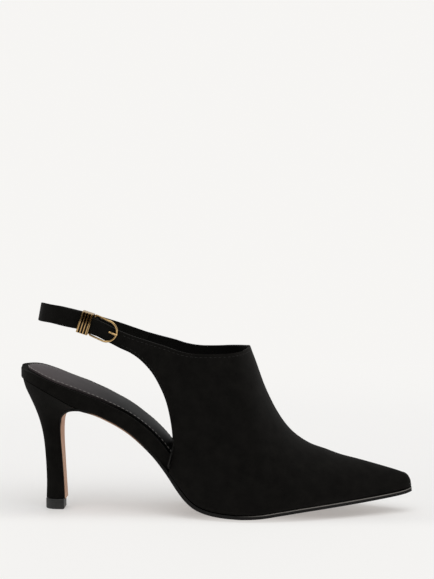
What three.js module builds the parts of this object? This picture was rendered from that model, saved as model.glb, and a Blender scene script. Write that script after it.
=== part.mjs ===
// Slingback pump for the right foot: suede upper, slender covered heel, heel strap with a buckle.
// Millimetres. X runs from heel to toe, Y to the inner side of the foot, Z up from the floor.
import * as THREE from 'three';

// Driving dimensions
const LENGTH = 246.6;        // back of the heel to the tip of the toe
const BALL_WIDTH = 75.4;     // foot line across the ball
const HEEL_HEIGHT = 85;      // floor to the seam above the heel, at the back
const INSTEP = 104.2;        // floor to the throat of the collar
const TOE_SPRING = 11.7;     // rise of the foot line from ball to toe tip
const WALL = 1.8;            // suede and its lining
const SOLE = 2.2;            // outsole at its edge
const FLAP = 1.1;            // outsole where it runs down the heel
const SOLE_CROWN = 2.3;      // how far the outsole bulges below its edge at the ball
const SOLE_LIFT = 1.6;       // edge of the outsole above the floor at the ball
const BOARD = 9;             // wrapped insole under the arch
const SOCK = 1.2;            // sock lining
const SOCK_DOME = 0.8;       // padding under the middle of the sock lining
const MARGIN = 6;            // upper turned in under the insole
const FEATHER_ROUND = 2.5;   // bend of the upper at the foot line
const BULGE = 3.6;           // swell of the upper's sides above the foot line
const BULGE_POWER = 0.6;     // below one, the swell is fullest low down
const CREST_DEPTH = 50;      // reach of the rounded instep down the sides
const CREST_SHARE = 0.8;     // most of the upper's height that this rounding may take
const TOE_ROUND = 4.5;       // length of the rounded toe tip
const SEAT_ROUND = 26;       // length of the rounded back of the seat
const TOP_PIECE = 6.5;       // plastic tip of the heel
const STRAP_WIDTH = 11.4;
const STRAP_THICK = 1.6;
const BUCKLE_WIRE = 1.2;
const BUCKLE_LENGTH = 17.4;
const BUCKLE_WIDTH = 14.2;
const KEEPER_LENGTH = 7.2;
const KEEPER_METAL = 0.6;
const KEEPER_RIB = 0.6;
const KEEPER_RIBS = 4;
const PRONG_RADIUS = 0.6;
const GAP = 0.3;             // clearance between pieces that touch

// Foot line from above: half its width, the bend of its middle to the inner side, and half the
// width at collar height, as shares of the ball width, along as a share of the length.
const PLAN = [
  { along: 0.000, half: 0.367, bend: 0.000, high: 0.332 },
  { along: 0.105, half: 0.367, bend: 0.000, high: 0.332 },
  { along: 0.180, half: 0.354, bend: 0.000, high: 0.332 },
  { along: 0.260, half: 0.317, bend: -0.010, high: 0.332 },
  { along: 0.320, half: 0.290, bend: -0.020, high: 0.332 },
  { along: 0.380, half: 0.300, bend: -0.033, high: 0.332 },
  { along: 0.440, half: 0.362, bend: -0.036, high: 0.332 },
  { along: 0.503, half: 0.434, bend: -0.029, high: 0.332 },
  { along: 0.564, half: 0.480, bend: -0.016, high: 0.332 },
  { along: 0.616, half: 0.500, bend: 0.000, high: 0.336 },
  { along: 0.665, half: 0.491, bend: 0.011, high: 0.338 },
  { along: 0.716, half: 0.459, bend: 0.016, high: 0.310 },
  { along: 0.766, half: 0.408, bend: 0.017, high: 0.262 },
  { along: 0.841, half: 0.302, bend: 0.017, high: 0.188 },
  { along: 0.918, half: 0.176, bend: 0.019, high: 0.113 },
  { along: 0.970, half: 0.090, bend: 0.018, high: 0.058 },
  { along: 1.000, half: 0.050, bend: 0.017, high: 0.040 },
];

// Foot line from the side: rise as a share of the heel's height above the ball, spring as a share
// of the toe spring, and the wrapped insole's thickness as a share of its thickness at the arch.
const PROFILE = [
  { along: 0.000, rise: 1.000, spring: 0, board: 0.58 },
  { along: 0.036, rise: 0.967, spring: 0, board: 0.73 },
  { along: 0.074, rise: 0.913, spring: 0, board: 0.83 },
  { along: 0.108, rise: 0.859, spring: 0, board: 0.93 },
  { along: 0.138, rise: 0.806, spring: 0, board: 1.10 },
  { along: 0.162, rise: 0.776, spring: 0, board: 1.14 },
  { along: 0.187, rise: 0.755, spring: 0, board: 1.04 },
  { along: 0.211, rise: 0.727, spring: 0, board: 1.02 },
  { along: 0.236, rise: 0.690, spring: 0, board: 1.02 },
  { along: 0.261, rise: 0.649, spring: 0, board: 1.05 },
  { along: 0.287, rise: 0.596, spring: 0, board: 1.11 },
  { along: 0.312, rise: 0.533, spring: 0, board: 1.18 },
  { along: 0.337, rise: 0.462, spring: 0, board: 1.27 },
  { along: 0.363, rise: 0.381, spring: 0, board: 1.29 },
  { along: 0.389, rise: 0.286, spring: 0, board: 1.25 },
  { along: 0.414, rise: 0.184, spring: 0, board: 1.16 },
  { along: 0.438, rise: 0.101, spring: 0, board: 0.94 },
  { along: 0.462, rise: 0.049, spring: 0, board: 0.72 },
  { along: 0.506, rise: 0.014, spring: 0, board: 0.54 },
  { along: 0.568, rise: 0.000, spring: 0.000, board: 0.46 },
  { along: 0.616, rise: 0, spring: 0.050, board: 0.45 },
  { along: 0.665, rise: 0, spring: 0.195, board: 0.45 },
  { along: 0.716, rise: 0, spring: 0.335, board: 0.45 },
  { along: 0.766, rise: 0, spring: 0.445, board: 0.45 },
  { along: 0.841, rise: 0, spring: 0.580, board: 0.45 },
  { along: 0.918, rise: 0, spring: 0.720, board: 0.45 },
  { along: 0.970, rise: 0, spring: 0.850, board: 0.45 },
  { along: 1.000, rise: 0, spring: 1.000, board: 0.45 },
];

// Crest of the upper from the throat to the toe, as shares of the length and the instep. The
// first row lies behind the throat, where the collar cuts the crest away.
const CREST = [
  { along: 0.480, top: 1.740 },
  { along: 0.588, top: 1.000 },
  { along: 0.602, top: 0.912 },
  { along: 0.624, top: 0.766 },
  { along: 0.651, top: 0.630 },
  { along: 0.677, top: 0.533 },
  { along: 0.703, top: 0.467 },
  { along: 0.741, top: 0.408 },
  { along: 0.779, top: 0.376 },
  { along: 0.818, top: 0.343 },
  { along: 0.869, top: 0.313 },
  { along: 0.920, top: 0.281 },
  { along: 0.959, top: 0.255 },
  { along: 0.984, top: 0.236 },
  { along: 1.000, top: 0.226 },
];
const NOSE = 0.162;          // height of the toe tip, as a share of the instep

// Quarter from the end of the buckle tab to the foot line: its lower edge round the opening and
// the topline above it, as shares of the length and the instep. The inner quarter's topline
// lies lower by the drop.
const QUARTER = [
  { low: 0.1655, lowUp: 1.120, top: 0.1655, topUp: 1.204, drop: 0 },
  { low: 0.185, lowUp: 1.103, top: 0.185, topUp: 1.194, drop: 0 },
  { low: 0.209, lowUp: 1.085, top: 0.209, topUp: 1.178, drop: 0 },
  { low: 0.231, lowUp: 1.057, top: 0.233, topUp: 1.151, drop: 0 },
  { low: 0.244, lowUp: 1.037, top: 0.247, topUp: 1.134, drop: 0 },
  { low: 0.266, lowUp: 1.010, top: 0.272, topUp: 1.106, drop: 0.012 },
  { low: 0.292, lowUp: 0.982, top: 0.300, topUp: 1.081, drop: 0.011 },
  { low: 0.318, lowUp: 0.938, top: 0.328, topUp: 1.060, drop: 0.009 },
  { low: 0.345, lowUp: 0.868, top: 0.355, topUp: 1.040, drop: 0.006 },
  { low: 0.366, lowUp: 0.782, top: 0.377, topUp: 1.024, drop: 0.003 },
  { low: 0.381, lowUp: 0.697, top: 0.395, topUp: 1.009, drop: 0 },
  { low: 0.391, lowUp: 0.600, top: 0.412, topUp: 0.996, drop: 0 },
  { low: 0.397, lowUp: 0.500, top: 0.428, topUp: 0.987, drop: 0 },
  { low: 0.398, lowUp: 0.405, top: 0.444, topUp: 0.981, drop: 0 },
  { low: 0.394, lowUp: 0.335, top: 0.458, topUp: 0.978, drop: 0 },
];
const TAB_ROWS = 5;          // rows of the quarter that only the buckle tab has
const CORNER = { low: 0.388, top: 0.472, topUp: 0.977 };

// Stations ahead of the corner: foot line and topline up to the throat, then upright sections.
const COLLAR = [
  { low: 0.414, top: 0.489, topUp: 0.977 },
  { low: 0.438, top: 0.507, topUp: 0.978 },
  { low: 0.462, top: 0.525, topUp: 0.980 },
  { low: 0.490, top: 0.546, topUp: 0.983 },
  { low: 0.518, top: 0.564, topUp: 0.987 },
  { low: 0.545, top: 0.577, topUp: 0.992 },
  { low: 0.568, top: 0.583, topUp: 0.997 },
];
const THROAT = 0.588;
const VAMP = [0.588, 0.600, 0.614, 0.630, 0.647, 0.668, 0.694, 0.724, 0.757, 0.794, 0.832, 0.870,
  0.905, 0.936, 0.960, 0.978, 0.987, 0.9935, 0.998];
const WAIST = [0.122, 0.138, 0.150];
const SHANK = [0.162, 0.187, 0.211, 0.236, 0.261, 0.287, 0.312, 0.337, 0.363];

// Covered heel from its tip to the seat: back and front edge as shares of the length and of the
// heel's height, and half its width as a share of the ball width.
const HEEL = [
  { back: 0.0616, backUp: 0.000, front: 0.1088, frontUp: 0.000, half: 0.073 },
  { back: 0.0628, backUp: 0.141, front: 0.1068, frontUp: 0.141, half: 0.069 },
  { back: 0.0606, backUp: 0.324, front: 0.1034, frontUp: 0.324, half: 0.074 },
  { back: 0.0557, backUp: 0.493, front: 0.1002, frontUp: 0.500, half: 0.093 },
  { back: 0.0472, backUp: 0.622, front: 0.1006, frontUp: 0.632, half: 0.121 },
  { back: 0.0358, backUp: 0.731, front: 0.1056, frontUp: 0.692, half: 0.163 },
  { back: 0.0220, backUp: 0.831, front: 0.1188, frontUp: 0.735, half: 0.214 },
  { back: 0.0105, backUp: 0.913, front: 0.1360, frontUp: 0.762, half: 0.271 },
  { back: 0.0035, backUp: 0.992, front: 0.1520, frontUp: 0.776, half: 0.326 },
];
const HEEL_BOW = [0, 0, 0, 0, 0, 0.1, 0.3, 0.6, 1];   // share of the seat's hollow in each row
const HEEL_ROUND = 0.69;     // share of the heel's depth that is its rounded back
const BREAST_WIDTH = 0.94;   // flat front of the heel as a share of its width

// Heel strap seen from above and from the side, from inside the inner quarter round to the
// buckle: along as a share of the length, side as a share of half the collar's width on the inner
// side and of the strap's place behind the buckle on the outer side, up of the instep, width of
// the strap's, and how far its upper edge leans in, in degrees.
const STRAP = [
  { along: 0.3150, side: 0.884, up: 1.0105, width: 0.90, lean: 0 },
  { along: 0.2700, side: 0.884, up: 1.0440, width: 0.95, lean: 0 },
  { along: 0.2300, side: 0.880, up: 1.0730, width: 1.00, lean: 0 },
  { along: 0.1800, side: 0.860, up: 1.1090, width: 1.00, lean: 0 },
  { along: 0.1350, side: 0.805, up: 1.1400, width: 1.00, lean: 2 },
  { along: 0.0930, side: 0.690, up: 1.1670, width: 1.00, lean: 6 },
  { along: 0.0640, side: 0.430, up: 1.1860, width: 1.00, lean: 9 },
  { along: 0.0517, side: 0.000, up: 1.2050, width: 1.00, lean: 11 },
  { along: 0.0640, side: -0.575, up: 1.2090, width: 1.00, lean: 8 },
  { along: 0.0930, side: -0.902, up: 1.2040, width: 1.00, lean: 4 },
  { along: 0.1300, side: -1.005, up: 1.1850, width: 1.00, lean: 0 },
  { along: 0.1650, side: -0.996, up: 1.1655, width: 0.94, lean: 0 },
  { along: 0.1953, side: -0.989, up: 1.1433, width: 0.86, lean: 0 },
];
const STRAP_STEPS = 48;

// Smooth line through one column of a table.
function lineThrough(table, column) {
  const slope = table.map((row, i) => {
    const before = table[Math.max(i - 1, 0)];
    const after = table[Math.min(i + 1, table.length - 1)];
    return (after[column] - before[column]) / (after.along - before.along);
  });
  return (along) => {
    const last = table.length - 2;
    const place = table.findIndex((row, i) => i <= last && along <= table[i + 1].along);
    const i = place < 0 ? last : place;
    const span = table[i + 1].along - table[i].along;
    const s = (along - table[i].along) / span;
    const rise = table[i + 1][column] - table[i][column];
    if (s < 0) return table[i][column] + slope[i] * s * span;
    const ease = s * s * (3 - 2 * s);
    const bendIn = s * (1 - s) * (1 - s) * span * slope[i];
    const bendOut = s * s * (1 - s) * span * slope[i + 1];
    return table[i][column] + ease * rise + bendIn - bendOut;
  };
}
const halfShare = lineThrough(PLAN, 'half');
const bendShare = lineThrough(PLAN, 'bend');
const highShare = lineThrough(PLAN, 'high');
const riseShare = lineThrough(PROFILE, 'rise');
const springShare = lineThrough(PROFILE, 'spring');
const boardShare = lineThrough(PROFILE, 'board');
const crestShare = lineThrough(CREST, 'top');
const lerp = (a, b, t) => a + (b - a) * t;

// Foot line: its half width, its height above the floor, and its slope.
const BALL_LINE = SOLE + GAP + SOLE_LIFT;
function footHeight(x) {
  const along = x / LENGTH;
  const rise = Math.max(riseShare(along), 0) * (HEEL_HEIGHT - BALL_LINE);
  return BALL_LINE + rise + Math.max(springShare(along), 0) * TOE_SPRING;
}
function tipRound(x, end, length) {
  const e = Math.max(0, 1 - (end - x) / length);
  return Math.sqrt(Math.max(0, 1 - e * e));
}
function footHalf(x) {
  const half = halfShare(x / LENGTH) * BALL_WIDTH;
  const back = Math.min(1, x / SEAT_ROUND);
  return half * tipRound(x, LENGTH, TOE_ROUND) * Math.sqrt(Math.max(0, 1 - (1 - back) ** 2));
}
const footBend = (x) => bendShare(x / LENGTH) * BALL_WIDTH;
const SLOPE_STEP = 0.5;
function footSlope(x) {
  const a = Math.max(x - SLOPE_STEP, 0);
  const b = Math.min(x + SLOPE_STEP, LENGTH);
  return (footHeight(b) - footHeight(a)) / (b - a);
}
// Upright distance that spans a thickness laid square to the sloping foot line.
const upright = (x, thickness) => thickness * Math.sqrt(1 + footSlope(x) ** 2);

// The last: how wide it is at a height, with a rounded crest over the instep and toe.
function crestHeight(x) {
  const nose = NOSE * INSTEP;
  return nose + (crestShare(x / LENGTH) * INSTEP - nose) * tipRound(x, LENGTH, TOE_ROUND);
}
function lastSection(x, z) {
  const foot = footHeight(x);
  const level = Math.min(1, Math.max(0, (z - foot) / (INSTEP - foot)));
  const half = halfShare(x / LENGTH) * BALL_WIDTH;
  const high = highShare(x / LENGTH) * BALL_WIDTH;
  const swell = BULGE * (half / (BALL_WIDTH / 2)) * Math.sin(Math.PI * level ** BULGE_POWER);
  const wide = (lerp(half, high, level) + swell) * tipRound(x, LENGTH, TOE_ROUND);
  const crest = crestHeight(x);
  const depth = Math.min(CREST_DEPTH, CREST_SHARE * Math.max(crest - foot, 1));
  const q = Math.min(1, (crest - z) / depth);
  return { middle: footBend(x) * (1 - level), square: wide * wide * (1 - (1 - q) ** 2) };
}
const NORMAL_STEP = 0.05;
function lastNormal(x, y, z) {
  const field = (a, b, c) => {
    const section = lastSection(Math.min(a, LENGTH), c);
    return (b - section.middle) ** 2 - section.square;
  };
  const d = NORMAL_STEP;
  return new THREE.Vector3(
    field(x + d, y, z) - field(x - d, y, z),
    field(x, y + d, z) - field(x, y - d, z),
    field(x, y, z + d) - field(x, y, z - d),
  ).normalize();
}

// Closed body from triangles of points: doubles joined, empty triangles dropped, faces outward.
function body(name, triangles, material) {
  const places = [];
  const found = new Map();
  const indexOf = (p) => {
    const key = [p.x, p.y, p.z].map((v) => Math.round(v * 1e4)).join(' ');
    if (!found.has(key)) {
      found.set(key, places.length / 3);
      places.push(p.x, p.y, p.z);
    }
    return found.get(key);
  };
  const faces = triangles.map((t) => t.map(indexOf))
    .filter(([a, b, c]) => a !== b && b !== c && a !== c);
  const at = (i) => new THREE.Vector3(places[3 * i], places[3 * i + 1], places[3 * i + 2]);
  const volume = faces.reduce((sum, [a, b, c]) => sum + at(a).dot(at(b).cross(at(c))), 0);
  const index = faces.flatMap(([a, b, c]) => (volume > 0 ? [a, b, c] : [a, c, b]));
  const geometry = new THREE.BufferGeometry();
  geometry.setAttribute('position', new THREE.Float32BufferAttribute(places, 3));
  geometry.setIndex(index);
  geometry.computeVertexNormals();
  const mesh = new THREE.Mesh(geometry, material);
  mesh.name = name;
  return mesh;
}
const quad = (a, b, c, d) => [[a, b, c], [a, c, d]];
const point = (x, y, z) => new THREE.Vector3(x, y, z);
const finish = (color, roughness, metalness) =>
  new THREE.MeshStandardMaterial({ color, roughness, metalness });

// Faces through a row of closed rings, and from the last to the first where the row closes.
function loftFaces(rings, closedRow) {
  const faces = [];
  const rows = closedRow ? rings.length : rings.length - 1;
  for (let i = 0; i < rows; i += 1) {
    const a = rings[i];
    const b = rings[(i + 1) % rings.length];
    for (let j = 0; j < a.length; j += 1) {
      const k = (j + 1) % a.length;
      faces.push(...quad(a[j], a[k], b[k], b[j]));
    }
  }
  return faces;
}
// End of a loft whose ring runs along one face and back along the other.
function foldedCap(ring, flip) {
  const faces = [];
  const half = ring.length / 2;
  for (let j = 0; j < half - 1; j += 1) {
    const a = ring[j];
    const b = ring[j + 1];
    const c = ring[ring.length - 2 - j];
    const d = ring[ring.length - 1 - j];
    faces.push(...(flip ? quad(d, c, b, a) : quad(a, b, c, d)));
  }
  return faces;
}
function slab(name, rings, material) {
  const faces = [
    ...loftFaces(rings, false),
    ...foldedCap(rings[0], true),
    ...foldedCap(rings[rings.length - 1], false),
  ];
  return body(name, faces, material);
}

const suede = () => finish(0x181715, 0.95, 0);
const gold = () => finish(0xd8b25a, 0.25, 1);

// Upper: vamp, both quarters and the buckle tab, a hollow shell with its edge turned in below.
const WALL_ROWS = 10;
const FEATHER_STEPS = 3;
const FEATHER_WIDE = 0.45;   // most of the foot line's half width that the bend may take
const FEATHER_HIGH = 0.35;   // most of the upper's height that it may take
const MARGIN_WIDE = 0.5;     // most of the rest of the half width that the turned edge may take
const VAMP_CROWD = 2;        // rows crowded towards the crest
const CROWD_POWER = 4;       // how late along the collar that crowding sets in
function upperStation(row, side) {
  const lowX = row.low * LENGTH;
  const topX = row.top * LENGTH;
  const drop = side > 0 && row.drop ? row.drop : 0;
  const topZ = row.topUp === undefined ? crestHeight(topX) : (row.topUp - drop) * INSTEP;
  const footZ = footHeight(lowX);
  const turned = row.lowUp === undefined;
  const round = Math.min(
    FEATHER_ROUND, FEATHER_WIDE * footHalf(lowX), FEATHER_HIGH * (topZ - footZ));
  const lowZ = turned ? footZ + round : row.lowUp * INSTEP;
  const outer = [];
  const inner = [];
  const add = (x, y, z, normal) => {
    outer.push(point(x, y, z));
    inner.push(point(x, y, z).addScaledVector(normal, -WALL));
  };
  const place = (x, z) => {
    const section = lastSection(x, z);
    return section.middle + side * Math.sqrt(Math.max(0, section.square));
  };
  const wallY = place(lowX, lowZ);
  const wallNormal = lastNormal(lowX, wallY, lowZ);
  const wallHalf = Math.abs(wallY - lastSection(lowX, lowZ).middle);
  const turnedIn = Math.min(MARGIN, MARGIN_WIDE * (wallHalf - round));
  const slope = footSlope(lowX);
  const down = point(slope, 0, -1).normalize();
  if (turned) add(lowX, wallY - side * (round + turnedIn), footZ, down);
  else add(lowX, wallY, lowZ, wallNormal);
  for (let k = FEATHER_STEPS; k > 0; k -= 1) {
    const turn = (k / FEATHER_STEPS) * (Math.PI / 2);
    const normal = wallNormal.clone().multiplyScalar(Math.cos(turn))
      .addScaledVector(down, Math.sin(turn)).normalize();
    if (turned) {
      const y = wallY - side * round * (1 - Math.cos(turn));
      add(lowX, y, footZ + round * (1 - Math.sin(turn)), normal);
    } else add(lowX, wallY, lowZ, wallNormal);
  }
  const forward = row.topUp === undefined ? 1 : Math.min(1, row.top / THROAT) ** CROWD_POWER;
  const crowd = lerp(1, VAMP_CROWD, forward);
  for (let j = 0; j <= WALL_ROWS; j += 1) {
    const t = 1 - (1 - j / WALL_ROWS) ** crowd;
    const x = lerp(lowX, topX, t);
    const z = lerp(lowZ, topZ, t);
    const y = place(x, z);
    add(x, y, z, lastNormal(x, y, z));
  }
  return { outer, inner };
}
function makeUpper() {
  const aboveCorner = {
    low: CORNER.low,
    lowUp: (footHeight(CORNER.low * LENGTH) + FEATHER_ROUND) / INSTEP,
    top: (QUARTER[QUARTER.length - 1].top + CORNER.top) / 2,
    topUp: CORNER.topUp,
  };
  const vamp = VAMP.map((along) => ({ low: along, top: along }));
  const rows = [...QUARTER, aboveCorner, CORNER, ...COLLAR, ...vamp];
  const throatRow = rows.length - vamp.length;
  const noseZ = NOSE * INSTEP;
  const nose = point(LENGTH, footBend(LENGTH), noseZ);
  const noseInside = point(LENGTH - WALL, footBend(LENGTH), noseZ);
  const faces = [];
  for (const side of [-1, 1]) {
    const first = side < 0 ? 0 : TAB_ROWS;
    const stations = rows.slice(first).map((row) => upperStation(row, side));
    const count = stations[0].outer.length;
    stations.push({ outer: Array(count).fill(nose), inner: Array(count).fill(noseInside) });
    const lay = (a, b, c, d) => faces.push(...(side < 0 ? quad(a, b, c, d) : quad(d, c, b, a)));
    for (let i = 0; i < stations.length - 1; i += 1) {
      const a = stations[i];
      const b = stations[i + 1];
      for (let j = 0; j < count - 1; j += 1) {
        lay(a.outer[j], b.outer[j], b.outer[j + 1], a.outer[j + 1]);
        lay(a.inner[j + 1], b.inner[j + 1], b.inner[j], a.inner[j]);
      }
      lay(a.inner[0], b.inner[0], b.outer[0], a.outer[0]);
      if (first + i < throatRow) {
        const n = count - 1;
        lay(a.outer[n], b.outer[n], b.inner[n], a.inner[n]);
      }
    }
    const end = stations[0];
    for (let j = 0; j < count - 1; j += 1) {
      lay(end.outer[j], end.outer[j + 1], end.inner[j + 1], end.inner[j]);
    }
  }
  return body('upper', faces, suede());
}

// Wrapped insole: a board in black leather, thick under the arch, thin inside the forepart.
const ACROSS = 8;
const INSOLE_END = 0.972;
const INSOLE_ROUND = 7;
const END_STEPS = [0.5, 0.8, 0.95, 1];
const BACK_STEPS = 6;
const seatStations = () => {
  const places = [];
  for (let i = 0; i <= BACK_STEPS; i += 1) {
    places.push(SEAT_ROUND * (1 - Math.cos((i / BACK_STEPS) * (Math.PI / 2))));
  }
  return places;
};
const cornerX = CORNER.low * LENGTH;
const MARGIN_START = 0.5;    // insole steps up over the turned edge this far behind the corner
const MARGIN_STEP = 1;
const MARGIN_FREE = 0.75;    // clearance over the turned edge
function bandStations(end) {
  const ahead = [...COLLAR.map((row) => row.low), ...VAMP].filter((along) => along < end);
  const places = [
    ...seatStations(),
    ...[...WAIST, ...SHANK].map((along) => along * LENGTH),
    cornerX - MARGIN_START - MARGIN_STEP,
    cornerX - MARGIN_START,
    ...ahead.map((along) => along * LENGTH),
  ];
  const last = end * LENGTH - INSOLE_ROUND;
  return [
    ...places.filter((x) => x < last - 1),
    last,
    ...END_STEPS.map((s) => last + INSOLE_ROUND * s),
  ];
}
function bandHalf(x, inset, end) {
  const ends = Math.sqrt(Math.max(0, 1 - (1 - Math.min(1, x / SEAT_ROUND)) ** 2));
  const half = halfShare(x / LENGTH) * BALL_WIDTH - inset * planSlant(x);
  return half * ends * tipRound(x, end * LENGTH, INSOLE_ROUND);
}
function planSlant(x) {
  if (x < SEAT_ROUND) return 1;
  const rise = (halfShare((x + 1) / LENGTH) - halfShare((x - 1) / LENGTH)) * BALL_WIDTH / 2;
  return Math.sqrt(1 + rise * rise);
}
const INSOLE_INSET = WALL + 4 * GAP;
function insoleBottom(x) {
  const step = Math.min(1, Math.max(0, (x - cornerX + MARGIN_START + MARGIN_STEP) / MARGIN_STEP));
  return footHeight(x) + step * upright(x, WALL + MARGIN_FREE);
}
const insoleTop = (x) => footHeight(x) + boardShare(x / LENGTH) * BOARD;
function bandRing(x, half, bottom, top, dome) {
  const ring = [];
  const middle = footBend(x);
  for (let j = 0; j <= ACROSS; j += 1) {
    const s = -1 + (2 * j) / ACROSS;
    ring.push(point(x, middle + s * half, top + dome * (1 - s * s)));
  }
  for (let j = ACROSS; j >= 0; j -= 1) {
    const s = -1 + (2 * j) / ACROSS;
    ring.push(point(x, middle + s * half, bottom));
  }
  return ring;
}
function makeInsole() {
  const rings = bandStations(INSOLE_END).map((x) =>
    bandRing(x, bandHalf(x, INSOLE_INSET, INSOLE_END), insoleBottom(x), insoleTop(x), 0));
  return slab('insole', rings, finish(0x1c1b1a, 0.6, 0));
}

// Sock lining: padded glossy leather glued on the insole, a little inside its edge.
const SOCK_RIM = 2;          // rim of the insole left bare beside the sock lining
const SOCK_BACK = 4.5;       // and behind it
const SOCK_INSET = INSOLE_INSET + SOCK_RIM;
const SOCK_END = 0.955;
const SOCK_FULL = 10;        // half width from which it has its whole padding
function sockStations() {
  const seat = seatStations().map((x) => SOCK_BACK + x * (1 - SOCK_BACK / SEAT_ROUND));
  return [...seat, ...bandStations(SOCK_END).filter((x) => x > SEAT_ROUND)];
}
function makeSock() {
  const rings = sockStations().map((x) => {
    const back = 1 - Math.min(1, (x - SOCK_BACK) / (SEAT_ROUND - SOCK_BACK));
    const wide = halfShare(x / LENGTH) * BALL_WIDTH - SOCK_INSET * planSlant(x);
    const ends = Math.sqrt(Math.max(0, 1 - back * back));
    const half = wide * ends * tipRound(x, SOCK_END * LENGTH, INSOLE_ROUND);
    const bottom = insoleTop(x) + upright(x, GAP);
    const dome = SOCK_DOME * tipRound(x, SOCK_END * LENGTH, INSOLE_ROUND)
      * Math.min(1, half / SOCK_FULL);
    return bandRing(x, half, bottom, bottom + upright(x, SOCK), dome);
  });
  return slab('sock_lining', rings, finish(0x141414, 0.3, 0));
}

// Heel: seat, breast and back drawn down to a slender tip, covered in the upper's suede.
const HEEL_BASE = TOP_PIECE + GAP;
const SEAT_GAP = 0.4;        // heel below the foot line
const heelX = (share) => share * LENGTH;
const heelZ = (share) => HEEL_BASE + share * (HEEL_HEIGHT - SEAT_GAP - HEEL_BASE);
const HEEL_ROUND_STEPS = 5;
const BREAST_CORNER = [
  { deep: 0.85, wide: 1 },
  { deep: 0.97, wide: 0.99 },
  { deep: 1, wide: BREAST_WIDTH },
];
// Outline of the heel from above: share of its depth from the back and share of its half width.
function heelOutline() {
  const side = [];
  for (let i = 0; i <= HEEL_ROUND_STEPS; i += 1) {
    const turn = (i / HEEL_ROUND_STEPS) * (Math.PI / 2);
    side.push({ deep: HEEL_ROUND * (1 - Math.cos(turn)), wide: Math.sin(turn) });
  }
  side.push(...BREAST_CORNER, { deep: 1, wide: BREAST_WIDTH / 2 }, { deep: 1, wide: 0 });
  return side;
}
// How far the seat's line lies off the straight line between its ends, from back to front.
function seatHollow(deep) {
  const seat = HEEL[HEEL.length - 1];
  const x = lerp(heelX(seat.back), heelX(seat.front), deep);
  return footHeight(x) - SEAT_GAP - lerp(heelZ(seat.backUp), heelZ(seat.frontUp), deep);
}
function heelRing(row, bow, grow) {
  const back = point(heelX(row.back) - grow, 0, heelZ(row.backUp));
  const front = point(heelX(row.front) + grow, 0, heelZ(row.frontUp));
  const place = ({ deep, wide }, side) => {
    const p = back.clone().lerp(front, deep);
    p.z += bow * seatHollow(deep);
    p.y = side * wide * (row.half * BALL_WIDTH + grow);
    return p;
  };
  const half = heelOutline();
  return [
    ...half.map((spot) => place(spot, -1)),
    ...half.slice(1, -1).reverse().map((spot) => place(spot, 1)),
  ];
}
// End of a heel: strips from side to side, because its ring mirrors itself.
function mirrorCap(ring, flip) {
  const faces = [];
  const n = ring.length;
  for (let j = 0; j < n / 2; j += 1) {
    const a = ring[j];
    const b = ring[j + 1];
    const c = ring[(n - j - 1) % n];
    const d = ring[(n - j) % n];
    faces.push(...(flip ? quad(d, c, b, a) : quad(a, b, c, d)));
  }
  return faces;
}
function mirrorLoft(name, rings, material) {
  return body(name, [
    ...loftFaces(rings, false),
    ...mirrorCap(rings[0], true),
    ...mirrorCap(rings[rings.length - 1], false),
  ], material);
}
function makeHeel() {
  const rings = HEEL.map((row, i) => heelRing(row, HEEL_BOW[i], 0));
  return mirrorLoft('heel', rings, suede());
}
const TOP_PIECE_GROW = 0.25;
function makeTopPiece() {
  const place = (z) => heelRing(HEEL[0], 0, TOP_PIECE_GROW).map((p) => point(p.x, p.y, z));
  return mirrorLoft('top_piece', [place(0), place(TOP_PIECE)], finish(0x2d2d2b, 0.5, 0));
}

// Outsole: leather from the toe under the arch to the heel, then down the heel's front.
const SOLE_PROUD = 0.3;      // outsole beyond the foot line in the forepart
const ARCH_SOLE = 1.7;       // outsole under the arch
const ARCH_CROWN = 0.8;
const CROWN_PLACE = 0.57;    // where the outsole bulges most, and how far ahead and behind
const CROWN_REACH = 0.16;
const SOLE_FLARE = 20;       // length over which the outsole widens out of the arch
const ARCH_INSET = 4;        // outsole further in than the insole at the heel
const ARCH_RUN = 45;         // length over which it draws in
const CROWN_WIDTH = 12;      // narrower than this the outsole bulges less
function solePath() {
  const path = [{ x: LENGTH + SOLE_PROUD, half: 0 }];
  const ahead = [...COLLAR.map((row) => row.low), ...VAMP].reverse();
  const places = [...ahead.map((along) => along * LENGTH), cornerX,
    ...[...SHANK].reverse().map((along) => along * LENGTH)];
  for (const x of places) {
    const forward = Math.min(1, Math.max(0, (x - cornerX) / SOLE_FLARE + 0.5));
    const inset = INSOLE_INSET + ARCH_INSET * Math.min(1, Math.max(0, (cornerX - x) / ARCH_RUN));
    path.push({ x, half: footHalf(x) + lerp(-inset, SOLE_PROUD, forward), forward });
  }
  for (const spot of path) {
    const forward = spot.forward ?? 1;
    const ball = 1 - Math.min(1, Math.abs(spot.x / LENGTH - CROWN_PLACE) / CROWN_REACH);
    spot.z = footHeight(Math.min(spot.x, LENGTH));
    spot.y = footBend(Math.min(spot.x, LENGTH));
    spot.thick = lerp(ARCH_SOLE, SOLE, forward);
    spot.crown = lerp(ARCH_CROWN, SOLE_CROWN, Math.sqrt(Math.max(0, ball)))
      * Math.min(1, spot.half / CROWN_WIDTH);
  }
  const breast = HEEL.slice(0, -1).reverse();
  for (const row of breast) {
    path.push({
      x: heelX(row.front),
      z: heelZ(row.frontUp),
      y: 0,
      half: row.half * BALL_WIDTH * BREAST_WIDTH,
      thick: FLAP,
      crown: 0,
    });
  }
  return path;
}
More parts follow.
